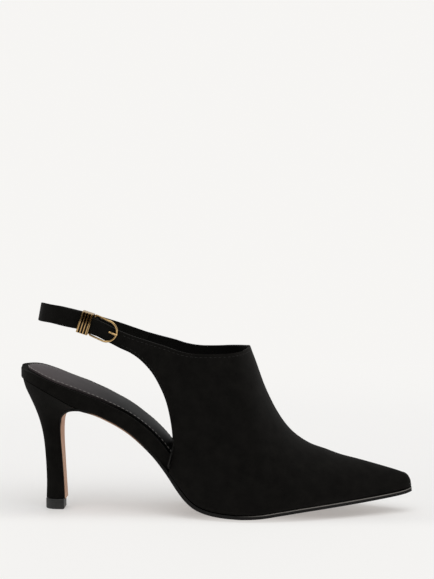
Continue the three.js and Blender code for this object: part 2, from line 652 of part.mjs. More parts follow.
function makeOutsole() {
  const path = solePath();
  const rings = path.map((spot, i) => {
    const before = path[Math.max(i - 1, 0)];
    const after = path[Math.min(i + 1, path.length - 1)];
    const run = point(after.x - before.x, 0, after.z - before.z).normalize();
    const out = point(-run.z, 0, run.x);
    const ring = [];
    for (const [face, order] of [[0, 1], [1, -1]]) {
      for (let j = 0; j <= ACROSS; j += 1) {
        const s = order * (-1 + (2 * j) / ACROSS);
        const away = GAP + face * (spot.thick + spot.crown * (1 - s * s));
        const p = point(spot.x, spot.y + s * spot.half, spot.z).addScaledVector(out, away);
        p.z = Math.max(0, p.z);
        ring.push(p);
      }
    }
    return ring;
  });
  return slab('outsole', rings, finish(0xb98a66, 0.6, 0));
}

// Buckle on the outer side, in the plane of the strap: along it, across it, and outward.
const BUCKLE = { along: 0.2259, up: 1.1178, tilt: 19.5 };
const KEEPER = { along: 0.1774, up: 1.1580, tilt: 18 };
const collarHalf = highShare(BUCKLE.along) * BALL_WIDTH;
const TAB_OUT = collarHalf;  // outer face of the tab
function strapPlane(place) {
  const tilt = THREE.MathUtils.degToRad(place.tilt);
  const middle = point(place.along * LENGTH, 0, place.up * INSTEP);
  const run = point(Math.cos(tilt), 0, -Math.sin(tilt));
  const across = point(Math.sin(tilt), 0, Math.cos(tilt));
  return (a, b, out) => middle.clone().addScaledVector(run, a).addScaledVector(across, b)
    .add(point(0, -out, 0));
}
const BAR_OUT = TAB_OUT - WALL - 2 * GAP - STRAP_THICK - BUCKLE_WIRE / 2;
const STRAP_OUT = BAR_OUT - BUCKLE_WIRE / 2 - GAP - STRAP_THICK / 2;
const BAR_ALONG = -(BUCKLE_LENGTH - BUCKLE_WIRE) / 2;
const BOW_OUT = TAB_OUT + GAP + BUCKLE_WIRE / 2;
const BOW_RISE = 0.62;       // share of the buckle's length in which it climbs over the tab
const WIRE_SIDES = 8;
const BAR_SHARES = [-0.8, -0.4, 0, 0.4, 0.8];
const LEG_SHARES = [0, 0.25, 0.5, 0.75];
const BOW_STEPS = 12;
function makeBuckle() {
  const at = strapPlane(BUCKLE);
  const radius = (BUCKLE_WIDTH - BUCKLE_WIRE) / 2;
  const barA = BAR_ALONG;
  const bendA = (BUCKLE_LENGTH - BUCKLE_WIRE) / 2 - radius;
  const path = [];
  for (const share of BAR_SHARES) path.push([barA, share * radius]);
  for (const share of LEG_SHARES) path.push([lerp(barA, bendA, share), radius]);
  for (let i = 0; i <= BOW_STEPS; i += 1) {
    const turn = Math.PI / 2 - (i / BOW_STEPS) * Math.PI;
    path.push([bendA + radius * Math.cos(turn), radius * Math.sin(turn)]);
  }
  for (const share of [...LEG_SHARES].reverse()) path.push([lerp(barA, bendA, share), -radius]);
  const rise = BOW_RISE * (BUCKLE_LENGTH - BUCKLE_WIRE);
  const lift = (a) => lerp(BAR_OUT, BOW_OUT, Math.min(1, (a - barA) / rise));
  const rings = path.map(([a, b], i) => {
    const [a0, b0] = path[(i + path.length - 1) % path.length];
    const [a1, b1] = path[(i + 1) % path.length];
    const length = Math.hypot(a1 - a0, b1 - b0);
    const side = [(b1 - b0) / length, -(a1 - a0) / length];
    const ring = [];
    for (let k = 0; k < WIRE_SIDES; k += 1) {
      const turn = (k / WIRE_SIDES) * 2 * Math.PI;
      const r = Math.cos(turn) * BUCKLE_WIRE / 2;
      ring.push(at(a + side[0] * r, b + side[1] * r, lift(a) + Math.sin(turn) * BUCKLE_WIRE / 2));
    }
    return ring;
  });
  return body('buckle_frame', loftFaces(rings, true), gold());
}
// Prong seen from its tip back: how far it lies short of the bow's outer edge, as a share of
// the buckle's length, and its height from the tab to the top of the bow, as a share.
const PRONG = [
  { back: 0.520, high: 0.00 },
  { back: 0.290, high: 0.05 },
  { back: 0.185, high: 0.80 },
  { back: 0.130, high: 1.00 },
  { back: 0.055, high: 1.05 },
  { back: -0.023, high: 0.95 },
];
const PRONG_TIP = 0.6;       // radius of its tip as a share
function makeProng() {
  const at = strapPlane(BUCKLE);
  const onTab = TAB_OUT + GAP + PRONG_RADIUS;
  const onBow = TAB_OUT + 2 * GAP + BUCKLE_WIRE + PRONG_RADIUS;
  const path = PRONG.map(({ back, high }) =>
    [BUCKLE_LENGTH * (0.5 - back), lerp(onTab, onBow, high)]);
  const rings = path.map(([a, out], i) => {
    const r = PRONG_RADIUS * (i === path.length - 1 ? PRONG_TIP : 1);
    const ring = [];
    for (let k = 0; k < WIRE_SIDES; k += 1) {
      const turn = (k / WIRE_SIDES) * 2 * Math.PI;
      ring.push(at(a, r * Math.cos(turn), out + r * Math.sin(turn)));
    }
    return ring;
  });
  const faces = loftFaces(rings, false);
  for (const [ring, flip] of [[rings[0], true], [rings[rings.length - 1], false]]) {
    for (let k = 1; k < WIRE_SIDES - 1; k += 1) {
      faces.push(flip ? [ring[0], ring[k + 1], ring[k]] : [ring[0], ring[k], ring[k + 1]]);
    }
  }
  return body('buckle_prong', faces, gold());
}

// Heel strap: one folded band of suede, sewn inside the inner quarter and, behind the buckle
// tab, turned round the bar of the buckle and back on itself.
const RETURN = 5;            // length of the strap turned back behind the tab
const FOLD_STEPS = 6;
function makeStrap() {
  const curve = new THREE.CatmullRomCurve3(STRAP.map((row) =>
    point(row.along * LENGTH, row.side * (row.side < 0 ? STRAP_OUT : collarHalf), row.up * INSTEP)));
  const rings = [];
  for (let i = 0; i < STRAP_STEPS; i += 1) {
    const t = i / STRAP_STEPS;
    const p = curve.getPoint(t);
    const run = curve.getTangent(t);
    const flatOut = point(run.y, -run.x, 0).normalize();
    const flatUp = flatOut.clone().cross(run).normalize();
    const place = t * (STRAP.length - 1);
    const row = Math.floor(place);
    const between = (column) => lerp(STRAP[row][column], STRAP[row + 1][column], place - row);
    const half = between('width') * STRAP_WIDTH / 2;
    const lean = THREE.MathUtils.degToRad(between('lean'));
    const up = flatUp.clone().multiplyScalar(Math.cos(lean)).addScaledVector(flatOut, -Math.sin(lean));
    const out = flatOut.clone().multiplyScalar(Math.cos(lean)).addScaledVector(flatUp, Math.sin(lean));
    const corner = (side, rise) => p.clone()
      .addScaledVector(out, side * STRAP_THICK / 2)
      .addScaledVector(up, rise * half);
    rings.push([corner(1, -1), corner(1, 1), corner(-1, 1), corner(-1, -1)]);
  }
  const at = strapPlane(BUCKLE);
  const bend = BAR_OUT - STRAP_OUT;
  const half = STRAP[STRAP.length - 1].width * STRAP_WIDTH / 2;
  const layer = (a, out, turn) => {
    const corner = (side, rise) => at(
      a - side * Math.sin(turn) * STRAP_THICK / 2,
      rise * half,
      out + side * Math.cos(turn) * STRAP_THICK / 2,
    );
    rings.push([corner(1, -1), corner(1, 1), corner(-1, 1), corner(-1, -1)]);
  };
  for (let k = 0; k <= FOLD_STEPS; k += 1) {
    const turn = (k / FOLD_STEPS) * Math.PI;
    layer(BAR_ALONG + bend * Math.sin(turn), BAR_OUT - bend * Math.cos(turn), turn);
  }
  layer(BAR_ALONG - RETURN, BAR_OUT + bend, Math.PI);
  return slab('sling_strap', rings, suede());
}

// Keeper: a loop of metal round strap and tab, its outer side raised in four plain ribs.
const KEEPER_FREE = 0.45;
const RIB = [
  { share: 0.08, raised: 0 },
  { share: 0.22, raised: 1 },
  { share: 0.78, raised: 1 },
  { share: 0.92, raised: 0 },
];
function makeKeeper() {
  const at = strapPlane(KEEPER);
  const inHalf = STRAP_WIDTH / 2 + KEEPER_FREE;
  const innerOut = BAR_OUT - BUCKLE_WIRE / 2 - GAP - STRAP_THICK - KEEPER_FREE;
  const outerOut = TAB_OUT + KEEPER_FREE;
  const loop = (a, grow, rib) => [
    at(a, -inHalf - grow, innerOut - grow),
    at(a, -inHalf - grow, outerOut + rib),
    at(a, inHalf + grow, outerOut + rib),
    at(a, inHalf + grow, innerOut - grow),
  ];
  const pitch = KEEPER_LENGTH / KEEPER_RIBS;
  const outer = [];
  for (let i = 0; i < KEEPER_RIBS; i += 1) {
    const start = -KEEPER_LENGTH / 2 + i * pitch;
    for (const { share, raised } of RIB) {
      outer.push({ a: start + share * pitch, rib: KEEPER_METAL + raised * KEEPER_RIB });
    }
  }
  outer[0].a = -KEEPER_LENGTH / 2;
  outer[outer.length - 1].a = KEEPER_LENGTH / 2;
  const rings = outer.map(({ a, rib }) => loop(a, KEEPER_METAL, rib));
  const inside = outer.map(({ a }) => loop(a, 0, 0)).reverse();
  return body('strap_keeper', loftFaces([...rings, ...inside], true), gold());
}

const model = new THREE.Group();
model.add(
  makeUpper(), makeInsole(), makeSock(), makeOutsole(), makeHeel(), makeTopPiece(),
  makeStrap(), makeBuckle(), makeProng(), makeKeeper(),
);
const shoe = new THREE.Group();
const box = new THREE.Box3().setFromObject(model);
const middle = box.getCenter(new THREE.Vector3());
model.position.set(-middle.x, -middle.y, -box.min.z);
shoe.add(model);
shoe.name = 'slingback_pump';
shoe.updateMatrixWorld(true);

export default shoe;
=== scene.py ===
from math import cos, exp, hypot, pi, radians, sin, sqrt

import bpy
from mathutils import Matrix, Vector


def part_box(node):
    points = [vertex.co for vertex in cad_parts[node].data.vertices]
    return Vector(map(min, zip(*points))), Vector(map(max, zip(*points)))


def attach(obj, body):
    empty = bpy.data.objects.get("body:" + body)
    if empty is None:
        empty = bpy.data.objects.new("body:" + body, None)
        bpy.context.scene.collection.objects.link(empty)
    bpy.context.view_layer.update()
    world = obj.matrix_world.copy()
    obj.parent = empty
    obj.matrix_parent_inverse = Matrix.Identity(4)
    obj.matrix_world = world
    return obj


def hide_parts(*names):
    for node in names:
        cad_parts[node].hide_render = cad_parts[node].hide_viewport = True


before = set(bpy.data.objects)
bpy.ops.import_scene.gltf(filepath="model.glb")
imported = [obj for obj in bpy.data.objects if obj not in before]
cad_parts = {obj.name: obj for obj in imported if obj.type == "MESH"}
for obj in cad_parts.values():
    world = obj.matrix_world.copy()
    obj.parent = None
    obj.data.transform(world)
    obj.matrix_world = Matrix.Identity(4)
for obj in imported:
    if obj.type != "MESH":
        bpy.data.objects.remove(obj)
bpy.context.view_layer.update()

# Camera. Level with the shoe's middle, a metre away, looking slightly down at its outer side,
# with the toe turned a few degrees towards it.
MM = 0.001
CAMERA_TURN = radians(3.0)
CAMERA_DIP = radians(4.5)
CAMERA_AWAY = 1.0
CAMERA_AIM = Vector((0.36, 0.0, 139.85)) * MM
camera_data = bpy.data.cameras.new("camera")
camera_data.lens = 99.0
camera_data.sensor_width = 36.0
camera = bpy.data.objects.new("camera", camera_data)
bpy.context.collection.objects.link(camera)
back = Vector((sin(CAMERA_TURN) * cos(CAMERA_DIP), -cos(CAMERA_TURN) * cos(CAMERA_DIP), sin(CAMERA_DIP)))
camera.location = CAMERA_AIM + back * CAMERA_AWAY
camera.rotation_euler = (-back).to_track_quat("-Z", "Y").to_euler()
bpy.context.scene.camera = camera

# Floor and light. A plain pale floor that runs into a pale background, under one broad soft
# light from above and an even glow all round. A dark card in front, which the camera doesn't see,
# keeps what the leather and the metal mirror dark.
# The floor glows in part: all of it from FADE_TO off, NEAR_SHARE of it at the shoe and behind it,
# FRONT_SHARE in front of it. This painted glow lightens the shoe's shadow on the floor, most in front.
FLOOR_HALF = 20.0
FADE_FROM = 0.16
FADE_TO = 0.75
FRONT_FROM = -0.012
FRONT_TO = -0.05
NEAR_SHARE = 0.34
FRONT_SHARE = 0.85
PALE = (0.925, 0.915, 0.898, 1.0)
bpy.context.scene.view_settings.view_transform = "Standard"
bpy.ops.object.select_all(action="DESELECT")
bpy.ops.mesh.primitive_plane_add(size=2 * FLOOR_HALF, location=(0, 0, 0))
floor = bpy.context.active_object
floor.name = "floor"
floor_finish = bpy.data.materials.new("floor_paper")
floor_finish.use_nodes = True
floor_tree = floor_finish.node_tree
floor_shader = floor_tree.nodes["Principled BSDF"]
floor_shader.inputs["Base Color"].default_value = (0.965, 0.957, 0.945, 1)
floor_shader.inputs["Roughness"].default_value = 0.5
floor_shader.inputs["Specular IOR Level"].default_value = 0.2
# Painted glow that lightens the floor's shadows, mixed in by distance and most in front of the shoe.
far_floor = floor_tree.nodes.new("ShaderNodeEmission")
far_floor.inputs["Color"].default_value = PALE
floor_place = floor_tree.nodes.new("ShaderNodeTexCoord")
from_shoe = floor_tree.nodes.new("ShaderNodeVectorMath")
from_shoe.operation = "LENGTH"
fade = floor_tree.nodes.new("ShaderNodeMapRange")
fade.interpolation_type = "SMOOTHSTEP"
fade.inputs["From Min"].default_value = FADE_FROM
fade.inputs["From Max"].default_value = FADE_TO
join_floor = floor_tree.nodes.new("ShaderNodeMixShader")
front = floor_tree.nodes.new("ShaderNodeSeparateXYZ")
front_fade = floor_tree.nodes.new("ShaderNodeMapRange")
front_fade.interpolation_type = "SMOOTHSTEP"
front_fade.inputs["From Min"].default_value = FRONT_FROM
front_fade.inputs["From Max"].default_value = FRONT_TO
front_fade.inputs["To Min"].default_value = NEAR_SHARE
front_fade.inputs["To Max"].default_value = FRONT_SHARE
both_fades = floor_tree.nodes.new("ShaderNodeMath")
both_fades.operation = "MAXIMUM"
floor_tree.links.new(floor_place.outputs["Object"], from_shoe.inputs[0])
floor_tree.links.new(floor_place.outputs["Object"], front.inputs["Vector"])
floor_tree.links.new(from_shoe.outputs["Value"], fade.inputs["Value"])
floor_tree.links.new(front.outputs["Y"], front_fade.inputs["Value"])
floor_tree.links.new(fade.outputs["Result"], both_fades.inputs[0])
floor_tree.links.new(front_fade.outputs["Result"], both_fades.inputs[1])
floor_tree.links.new(both_fades.outputs["Value"], join_floor.inputs["Fac"])
floor_tree.links.new(floor_shader.outputs["BSDF"], join_floor.inputs[1])
floor_tree.links.new(far_floor.outputs["Emission"], join_floor.inputs[2])
floor_tree.links.new(join_floor.outputs["Shader"], floor_tree.nodes["Material Output"].inputs["Surface"])
floor.data.materials.append(floor_finish)

world = bpy.data.worlds.new("studio")
bpy.context.scene.world = world
world.use_nodes = True
tree = world.node_tree
tree.nodes.clear()
world_out = tree.nodes.new("ShaderNodeOutputWorld")
glow = tree.nodes.new("ShaderNodeBackground")
glow.inputs["Strength"].default_value = 0.74
paper = tree.nodes.new("ShaderNodeBackground")
paper.inputs["Color"].default_value = PALE
rays = tree.nodes.new("ShaderNodeLightPath")
choose = tree.nodes.new("ShaderNodeMixShader")
tree.links.new(rays.outputs["Is Camera Ray"], choose.inputs["Fac"])
tree.links.new(glow.outputs["Background"], choose.inputs[1])
tree.links.new(paper.outputs["Background"], choose.inputs[2])
tree.links.new(choose.outputs["Shader"], world_out.inputs["Surface"])

SUN_BREADTH = radians(70)
SUN_POWER = 1.5
sun_data = bpy.data.lights.new("overhead", "SUN")
sun_data.energy = SUN_POWER
sun_data.angle = SUN_BREADTH
sun = bpy.data.objects.new("overhead", sun_data)
bpy.context.collection.objects.link(sun)
sun.rotation_euler = (radians(24), radians(12), 0)

CARD = {"wide": 3.2, "high": 1.5, "away": 1.35, "up": 0.55}
bpy.ops.object.select_all(action="DESELECT")
bpy.ops.mesh.primitive_plane_add(size=1, location=(0, -CARD["away"], CARD["up"]), rotation=(pi / 2, 0, 0))
card = bpy.context.active_object
card.name = "dark_card"
card.scale = (CARD["wide"], CARD["high"], 1)
bpy.ops.object.transform_apply(location=True, rotation=True, scale=True)
card_finish = bpy.data.materials.new("dark_card_cloth")
card_finish.use_nodes = True
card_finish.node_tree.nodes["Principled BSDF"].inputs["Base Color"].default_value = (0.02, 0.02, 0.02, 1)
card_finish.node_tree.nodes["Principled BSDF"].inputs["Roughness"].default_value = 1.0
card.data.materials.append(card_finish)
card.visible_camera = False

# Upper: vamp, both quarters and the buckle tab, cut from lined black suede, lasted over the
# foot line and turned in under the insole. Sizes in millimetres from the back of the heel.
LENGTH = 246.6
BALL_WIDTH = 75.4
HEEL_HEIGHT = 85.0
INSTEP = 104.2
TOE_SPRING = 11.7
WALL = 1.8
SOLE = 2.2
SOLE_LIFT = 1.6
GAP = 0.3
MARGIN = 6.0
FEATHER_ROUND = 2.5
BULGE = 3.6
CREST_DEPTH = 50.0
TOE_ROUND = 4.5
SEAT_ROUND = 26.0
NOSE = 0.162
BULGE_POWER = 0.6
CREST_SHARE = 0.8
CROWD_POWER = 4
WALL_EDGE = 0.55
shift_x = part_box("insole")[0][0] / MM
shift_y = (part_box("top_piece")[0][1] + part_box("top_piece")[1][1]) / 2 / MM

# Foot line from above, as shares of the ball width: half width, bend, half width at the collar.
PLAN = [
    (0.000, 0.367, 0.000, 0.332), (0.105, 0.367, 0.000, 0.332), (0.180, 0.354, 0.000, 0.332),
    (0.260, 0.317, -0.010, 0.332), (0.320, 0.290, -0.020, 0.332), (0.380, 0.300, -0.033, 0.332),
    (0.440, 0.362, -0.036, 0.332), (0.503, 0.434, -0.029, 0.332), (0.564, 0.480, -0.016, 0.332),
    (0.616, 0.500, 0.000, 0.336), (0.665, 0.491, 0.011, 0.338), (0.716, 0.459, 0.016, 0.310),
    (0.766, 0.408, 0.017, 0.262), (0.841, 0.302, 0.017, 0.188), (0.918, 0.176, 0.019, 0.113),
    (0.970, 0.090, 0.018, 0.058), (1.000, 0.050, 0.017, 0.040),
]
# Foot line from the side: rise of the heel's height, share of the toe spring, insole thickness.
PROFILE = [
    (0.000, 1.000, 0.000, 0.58), (0.036, 0.967, 0.000, 0.73), (0.074, 0.913, 0.000, 0.83),
    (0.108, 0.859, 0.000, 0.93), (0.138, 0.806, 0.000, 1.10), (0.162, 0.776, 0.000, 1.14),
    (0.187, 0.755, 0.000, 1.04), (0.211, 0.727, 0.000, 1.02), (0.236, 0.690, 0.000, 1.02),
    (0.261, 0.649, 0.000, 1.05), (0.287, 0.596, 0.000, 1.11), (0.312, 0.533, 0.000, 1.18),
    (0.337, 0.462, 0.000, 1.27), (0.363, 0.381, 0.000, 1.29), (0.389, 0.286, 0.000, 1.25),
    (0.414, 0.184, 0.000, 1.16), (0.438, 0.101, 0.000, 0.94), (0.462, 0.049, 0.000, 0.72),
    (0.506, 0.014, 0.000, 0.54), (0.568, 0.000, 0.000, 0.46), (0.616, 0.000, 0.050, 0.45),
    (0.665, 0.000, 0.195, 0.45), (0.716, 0.000, 0.335, 0.45), (0.766, 0.000, 0.445, 0.45),
    (0.841, 0.000, 0.580, 0.45), (0.918, 0.000, 0.720, 0.45), (0.970, 0.000, 0.850, 0.45),
    (1.000, 0.000, 1.000, 0.45),
]
# Crest over the instep and toe, as a share of the instep.
CREST = [
    (0.480, 1.740), (0.588, 1.000), (0.602, 0.912), (0.624, 0.766), (0.651, 0.630),
    (0.677, 0.533), (0.703, 0.467), (0.741, 0.408), (0.779, 0.376), (0.818, 0.343),
    (0.869, 0.313), (0.920, 0.281), (0.959, 0.255), (0.984, 0.236), (1.000, 0.226),
]
# Quarter from the buckle tab to the foot line: lower edge along and up, topline along and up, and
# how much lower the inner quarter's topline lies.
QUARTER = [
    (0.1655, 1.120, 0.1655, 1.204, 0),
    (0.185, 1.099, 0.185, 1.194, 0),
    (0.209, 1.079, 0.209, 1.178, 0),
    (0.231, 1.052, 0.233, 1.151, 0),
    (0.244, 1.037, 0.247, 1.134, 0),
    (0.266, 1.010, 0.272, 1.106, 0.012),
    (0.292, 0.982, 0.300, 1.081, 0.011),
    (0.318, 0.938, 0.328, 1.060, 0.009),
    (0.345, 0.868, 0.355, 1.040, 0.006),
    (0.366, 0.782, 0.377, 1.024, 0.003),
    (0.381, 0.697, 0.395, 1.009, 0),
    (0.391, 0.600, 0.412, 0.996, 0),
    (0.397, 0.500, 0.428, 0.987, 0),
    (0.398, 0.405, 0.444, 0.981, 0),
    (0.394, 0.335, 0.458, 0.978, 0),
]
TAB_ROWS = 5
# Foot line along, topline along and up, from the corner at the sole to the throat.
COLLAR = [
    (0.388, 0.472, 0.977), (0.414, 0.489, 0.977), (0.438, 0.507, 0.978), (0.462, 0.525, 0.980),
    (0.490, 0.546, 0.983), (0.518, 0.564, 0.987), (0.545, 0.577, 0.992), (0.568, 0.583, 0.997),
    (0.588, 0.588, 1.000),
]
THROAT = 0.588


def line_through(table, column):
    """Smooth line through one column of a table whose first column says how far along it is."""
    slopes = []
    for i in range(len(table)):
        before, after = table[max(i - 1, 0)], table[min(i + 1, len(table) - 1)]
        slopes.append((after[column] - before[column]) / (after[0] - before[0]))

    def at(along):
        i = next((k for k in range(len(table) - 1) if along <= table[k + 1][0]), len(table) - 2)
        span = table[i + 1][0] - table[i][0]
        s = (along - table[i][0]) / span
        if s < 0:
            return table[i][column] + slopes[i] * s * span
        rise = table[i + 1][column] - table[i][column]
        ease = s * s * (3 - 2 * s) * rise
        return table[i][column] + ease + s * (1 - s) * span * ((1 - s) * slopes[i] - s * slopes[i + 1])

    return at


half_share = line_through(PLAN, 1)
bend_share = line_through(PLAN, 2)
high_share = line_through(PLAN, 3)
rise_share = line_through(PROFILE, 1)
spring_share = line_through(PROFILE, 2)
board_share = line_through(PROFILE, 3)
crest_share = line_through(CREST, 1)


def mix(a, b, t):
    return a + (b - a) * t


def tip_round(x, end, length):
    e = max(0.0, 1 - (end - x) / length)
    return sqrt(max(0.0, 1 - e * e))


def foot_height(x):
    base = SOLE + GAP + SOLE_LIFT
    along = x / LENGTH
    return base + max(rise_share(along), 0) * (HEEL_HEIGHT - base) + max(spring_share(along), 0) * TOE_SPRING


def foot_slope(x):
    low, high = max(x - 0.5, 0), min(x + 0.5, LENGTH)
    return (foot_height(high) - foot_height(low)) / (high - low)


def upright(x, thickness):
    return thickness * sqrt(1 + foot_slope(x) ** 2)


def foot_half(x):
    seat = 1 - min(1.0, x / SEAT_ROUND)
    return half_share(x / LENGTH) * BALL_WIDTH * tip_round(x, LENGTH, TOE_ROUND) * sqrt(max(0, 1 - seat**2))


def foot_bend(x):
    return bend_share(x / LENGTH) * BALL_WIDTH


def crest_height(x):
    nose = NOSE * INSTEP
    return nose + (crest_share(x / LENGTH) * INSTEP - nose) * tip_round(x, LENGTH, TOE_ROUND)


def last_side(x, z, side):
    """How far to one side the last's surface lies at a place in its side view."""
    foot = foot_height(x)
    level = min(1.0, max(0.0, (z - foot) / (INSTEP - foot)))
    half = half_share(x / LENGTH) * BALL_WIDTH
    swell = BULGE * half / (BALL_WIDTH / 2) * sin(pi * level**BULGE_POWER)
    wide = (mix(half, high_share(x / LENGTH) * BALL_WIDTH, level) + swell) * tip_round(x, LENGTH, TOE_ROUND)
    crest = crest_height(x)
    q = min(1.0, (crest - z) / min(CREST_DEPTH, CREST_SHARE * max(crest - foot, 1)))
    return foot_bend(x) * (1 - level) + side * wide * sqrt(max(0.0, 1 - (1 - q) ** 2))


def through(rows, t):
    """Smooth place between the rows of a table, t counted in rows."""
    i = min(int(t), len(rows) - 2)
    s = t - i
    a, b = rows[i], rows[i + 1]
    before = rows[i - 1] if i > 0 else [2 * p - q for p, q in zip(a, b)]
    after = rows[i + 2] if i + 2 < len(rows) else [2 * q - p for p, q in zip(a, b)]
    return [
        0.5 * (2 * p + (q - o) * s + (2 * o - 5 * p + 4 * q - r) * s * s + (3 * p - o - 3 * q + r) * s**3)
        for o, p, q, r in zip(before, a, b, after)
    ]


def grid_piece(name, rows, columns, place):
    """A grid of faces laid over a surface: place says where each row and column goes, in mm."""
    bpy.ops.object.select_all(action="DESELECT")
    bpy.ops.mesh.primitive_grid_add(x_subdivisions=columns - 1, y_subdivisions=rows - 1, size=1)
    piece = bpy.context.active_object
    piece.name = name
    piece.data.name = name
    spots = []
    for i in range(rows):
        for j in range(columns):
            x, y, z = place(i, j)
            spots += [(x + shift_x) * MM, (y + shift_y) * MM, z * MM]
    piece.data.vertices.foreach_set("co", spots)
    piece.data.update()
    return piece


def pick(piece):
    """Makes the piece the only one selected."""
    bpy.ops.object.select_all(action="DESELECT")
    piece.select_set(True)
    bpy.context.view_layer.objects.active = piece


def join_doubles(piece, reach=0.004):
    """Merges the vertices that lie together, reach in millimetres, and turns the faces outward."""
    pick(piece)
    bpy.ops.object.mode_set(mode="EDIT")
    bpy.ops.mesh.select_all(action="SELECT")
    bpy.ops.mesh.remove_doubles(threshold=reach * MM)
    bpy.ops.mesh.normals_make_consistent(inside=False)
    bpy.ops.object.mode_set(mode="OBJECT")


def apply_modifier(piece, kind, **settings):
    pick(piece)
    added = piece.modifiers.new(kind.lower(), kind)
    for key, value in settings.items():
        setattr(added, key, value)
    bpy.ops.object.modifier_apply(modifier=added.name)


def round_edges(piece, width, segments=3, angle=50):
    """Rounds every edge sharper than the angle and shades the piece smooth."""
    apply_modifier(
        piece, "BEVEL", width=width * MM, segments=segments, limit_method="ANGLE",
        angle_limit=radians(angle), use_clamp_overlap=True,
    )
    pick(piece)
    bpy.ops.object.shade_smooth_by_angle(angle=radians(45))


QUARTER_STEPS = 60
COLLAR_STEPS = 56
VAMP_STEPS = 110
VAMP_EVEN = 0.45
FEATHER_STEPS = 5
FEATHER_OF_HALF = 0.45
FEATHER_OF_RISE = 0.35
WALL_STEPS = 44
# Share of the quarters' lower edge, from the back, that gets the painted edge highlight.
TRIMMED = 0.75
corner_x = COLLAR[0][0] * LENGTH


def upper_stations():
    """Lower and upper end of each section line in the side view, and whether it turns in below."""
    above = (COLLAR[0][0], (foot_height(corner_x) + FEATHER_ROUND) / INSTEP,
             (QUARTER[-1][2] + COLLAR[0][1]) / 2, COLLAR[0][2], 0)
    rows = [*QUARTER, above]
    stations = []
    for i in range(QUARTER_STEPS + 1):
        low, low_up, top, top_up, drop = through(rows, i / QUARTER_STEPS * (len(rows) - 1))
        stations.append((low * LENGTH, low_up * INSTEP, top * LENGTH, top_up * INSTEP, drop * INSTEP, False))
    for i in range(COLLAR_STEPS + 1):
        low, top, top_up = through(COLLAR, i / COLLAR_STEPS * (len(COLLAR) - 1))
        stations.append((low * LENGTH, foot_height(low * LENGTH), top * LENGTH, top_up * INSTEP, 0, True))
    for i in range(1, VAMP_STEPS + 1):
        s = i / VAMP_STEPS
        forward = mix(sin(s * pi / 2), s, VAMP_EVEN)
        x = LENGTH * mix(THROAT, 1, forward)
        stations.append((x, foot_height(x), x, crest_height(x), 0, True))
    return stations


stations = upper_stations()
throat_station = QUARTER_STEPS + COLLAR_STEPS + 1
tab_stations = round(QUARTER_STEPS * TAB_ROWS / len(QUARTER))

# Soft troughs and ridges that wear and storage leave: place in the side view, reach along and
# up, slant, and depth, all in millimetres. A ridge has a negative depth.
CREASES = [
    {"x": 150, "z": 50, "long": 26, "wide": 5.0, "slant": 0.9, "deep": 0.22},
    {"x": 158, "z": 44, "long": 24, "wide": 4.0, "slant": 0.8, "deep": -0.18},
    {"x": 167, "z": 36, "long": 22, "wide": 5.0, "slant": 0.7, "deep": 0.20},
    {"x": 112, "z": 70, "long": 30, "wide": 9.0, "slant": 1.2, "deep": 0.25},
    {"x": 104, "z": 40, "long": 18, "wide": 6.0, "slant": 1.0, "deep": -0.20},
    {"x": 128, "z": 88, "long": 18, "wide": 6.0, "slant": 0.2, "deep": 0.20},
]
# The creases run out towards the middle of the shoe, over this many millimetres.
CREASE_RUN = 12.0


def crease_depth(x, z):
    """How far the suede sinks at a place in the side view."""
    depth = 0.0
    for fold in CREASES:
        run, rise = cos(fold["slant"]), sin(fold["slant"])
        along = ((x - fold["x"]) * run + (z - fold["z"]) * rise) / fold["long"]
        across = (-(x - fold["x"]) * rise + (z - fold["z"]) * run) / fold["wide"]
        depth += fold["deep"] * max(0.0, 1 - along * along) ** 2 * exp(-across * across)
    return depth


def wall_place(side, first):
    """Places on the outside of the wall, from the lower edge or foot line up to the topline."""
    def place(i, j):
        low_x, low_z, top_x, top_z, drop, turned = stations[first + i]
        top_z -= drop if side > 0 else 0
        start = low_z + feather_bend(low_x, low_z, top_z) if turned else low_z
        crowd = mix(1, 2, min(1.0, top_x / LENGTH / THROAT) ** CROWD_POWER)
        t = 1 - (1 - j / WALL_STEPS) ** crowd
        x, z = mix(low_x, top_x, t), mix(start, top_z, t)
        y = last_side(x, z, side)
        sunk = crease_depth(x, z) * min(1.0, abs(y - foot_bend(x)) / CREASE_RUN)
        return x, y - side * sunk, z

    return place


def feather_bend(x, foot, top):
    return min(FEATHER_ROUND, FEATHER_OF_HALF * foot_half(x), FEATHER_OF_RISE * (top - foot))


def feather_place(side):
    """Places where the upper bends under the foot line and lies turned in below the insole."""
    def place(i, j):
        x, foot, top_x, top_z, drop, turned = stations[QUARTER_STEPS + 1 + i]
        bend = feather_bend(x, foot, top_z)
        edge = last_side(x, foot + bend, side)
        if j == 0:
            inward = bend + min(MARGIN, 0.5 * max(0, abs(edge - foot_bend(x)) - bend))
            return x, edge - side * inward, foot
        turn = (1 - (j - 1) / FEATHER_STEPS) * pi / 2
        return x, edge - side * bend * (1 - cos(turn)), foot + bend * (1 - sin(turn))

    return place


def join_pieces(pieces, name):
    bpy.ops.object.select_all(action="DESELECT")
    for piece in pieces:
        piece.select_set(True)
    bpy.context.view_layer.objects.active = pieces[0]
    bpy.ops.object.join()
    joined = bpy.context.active_object
    joined.name = name
    joined.data.name = name
    return joined


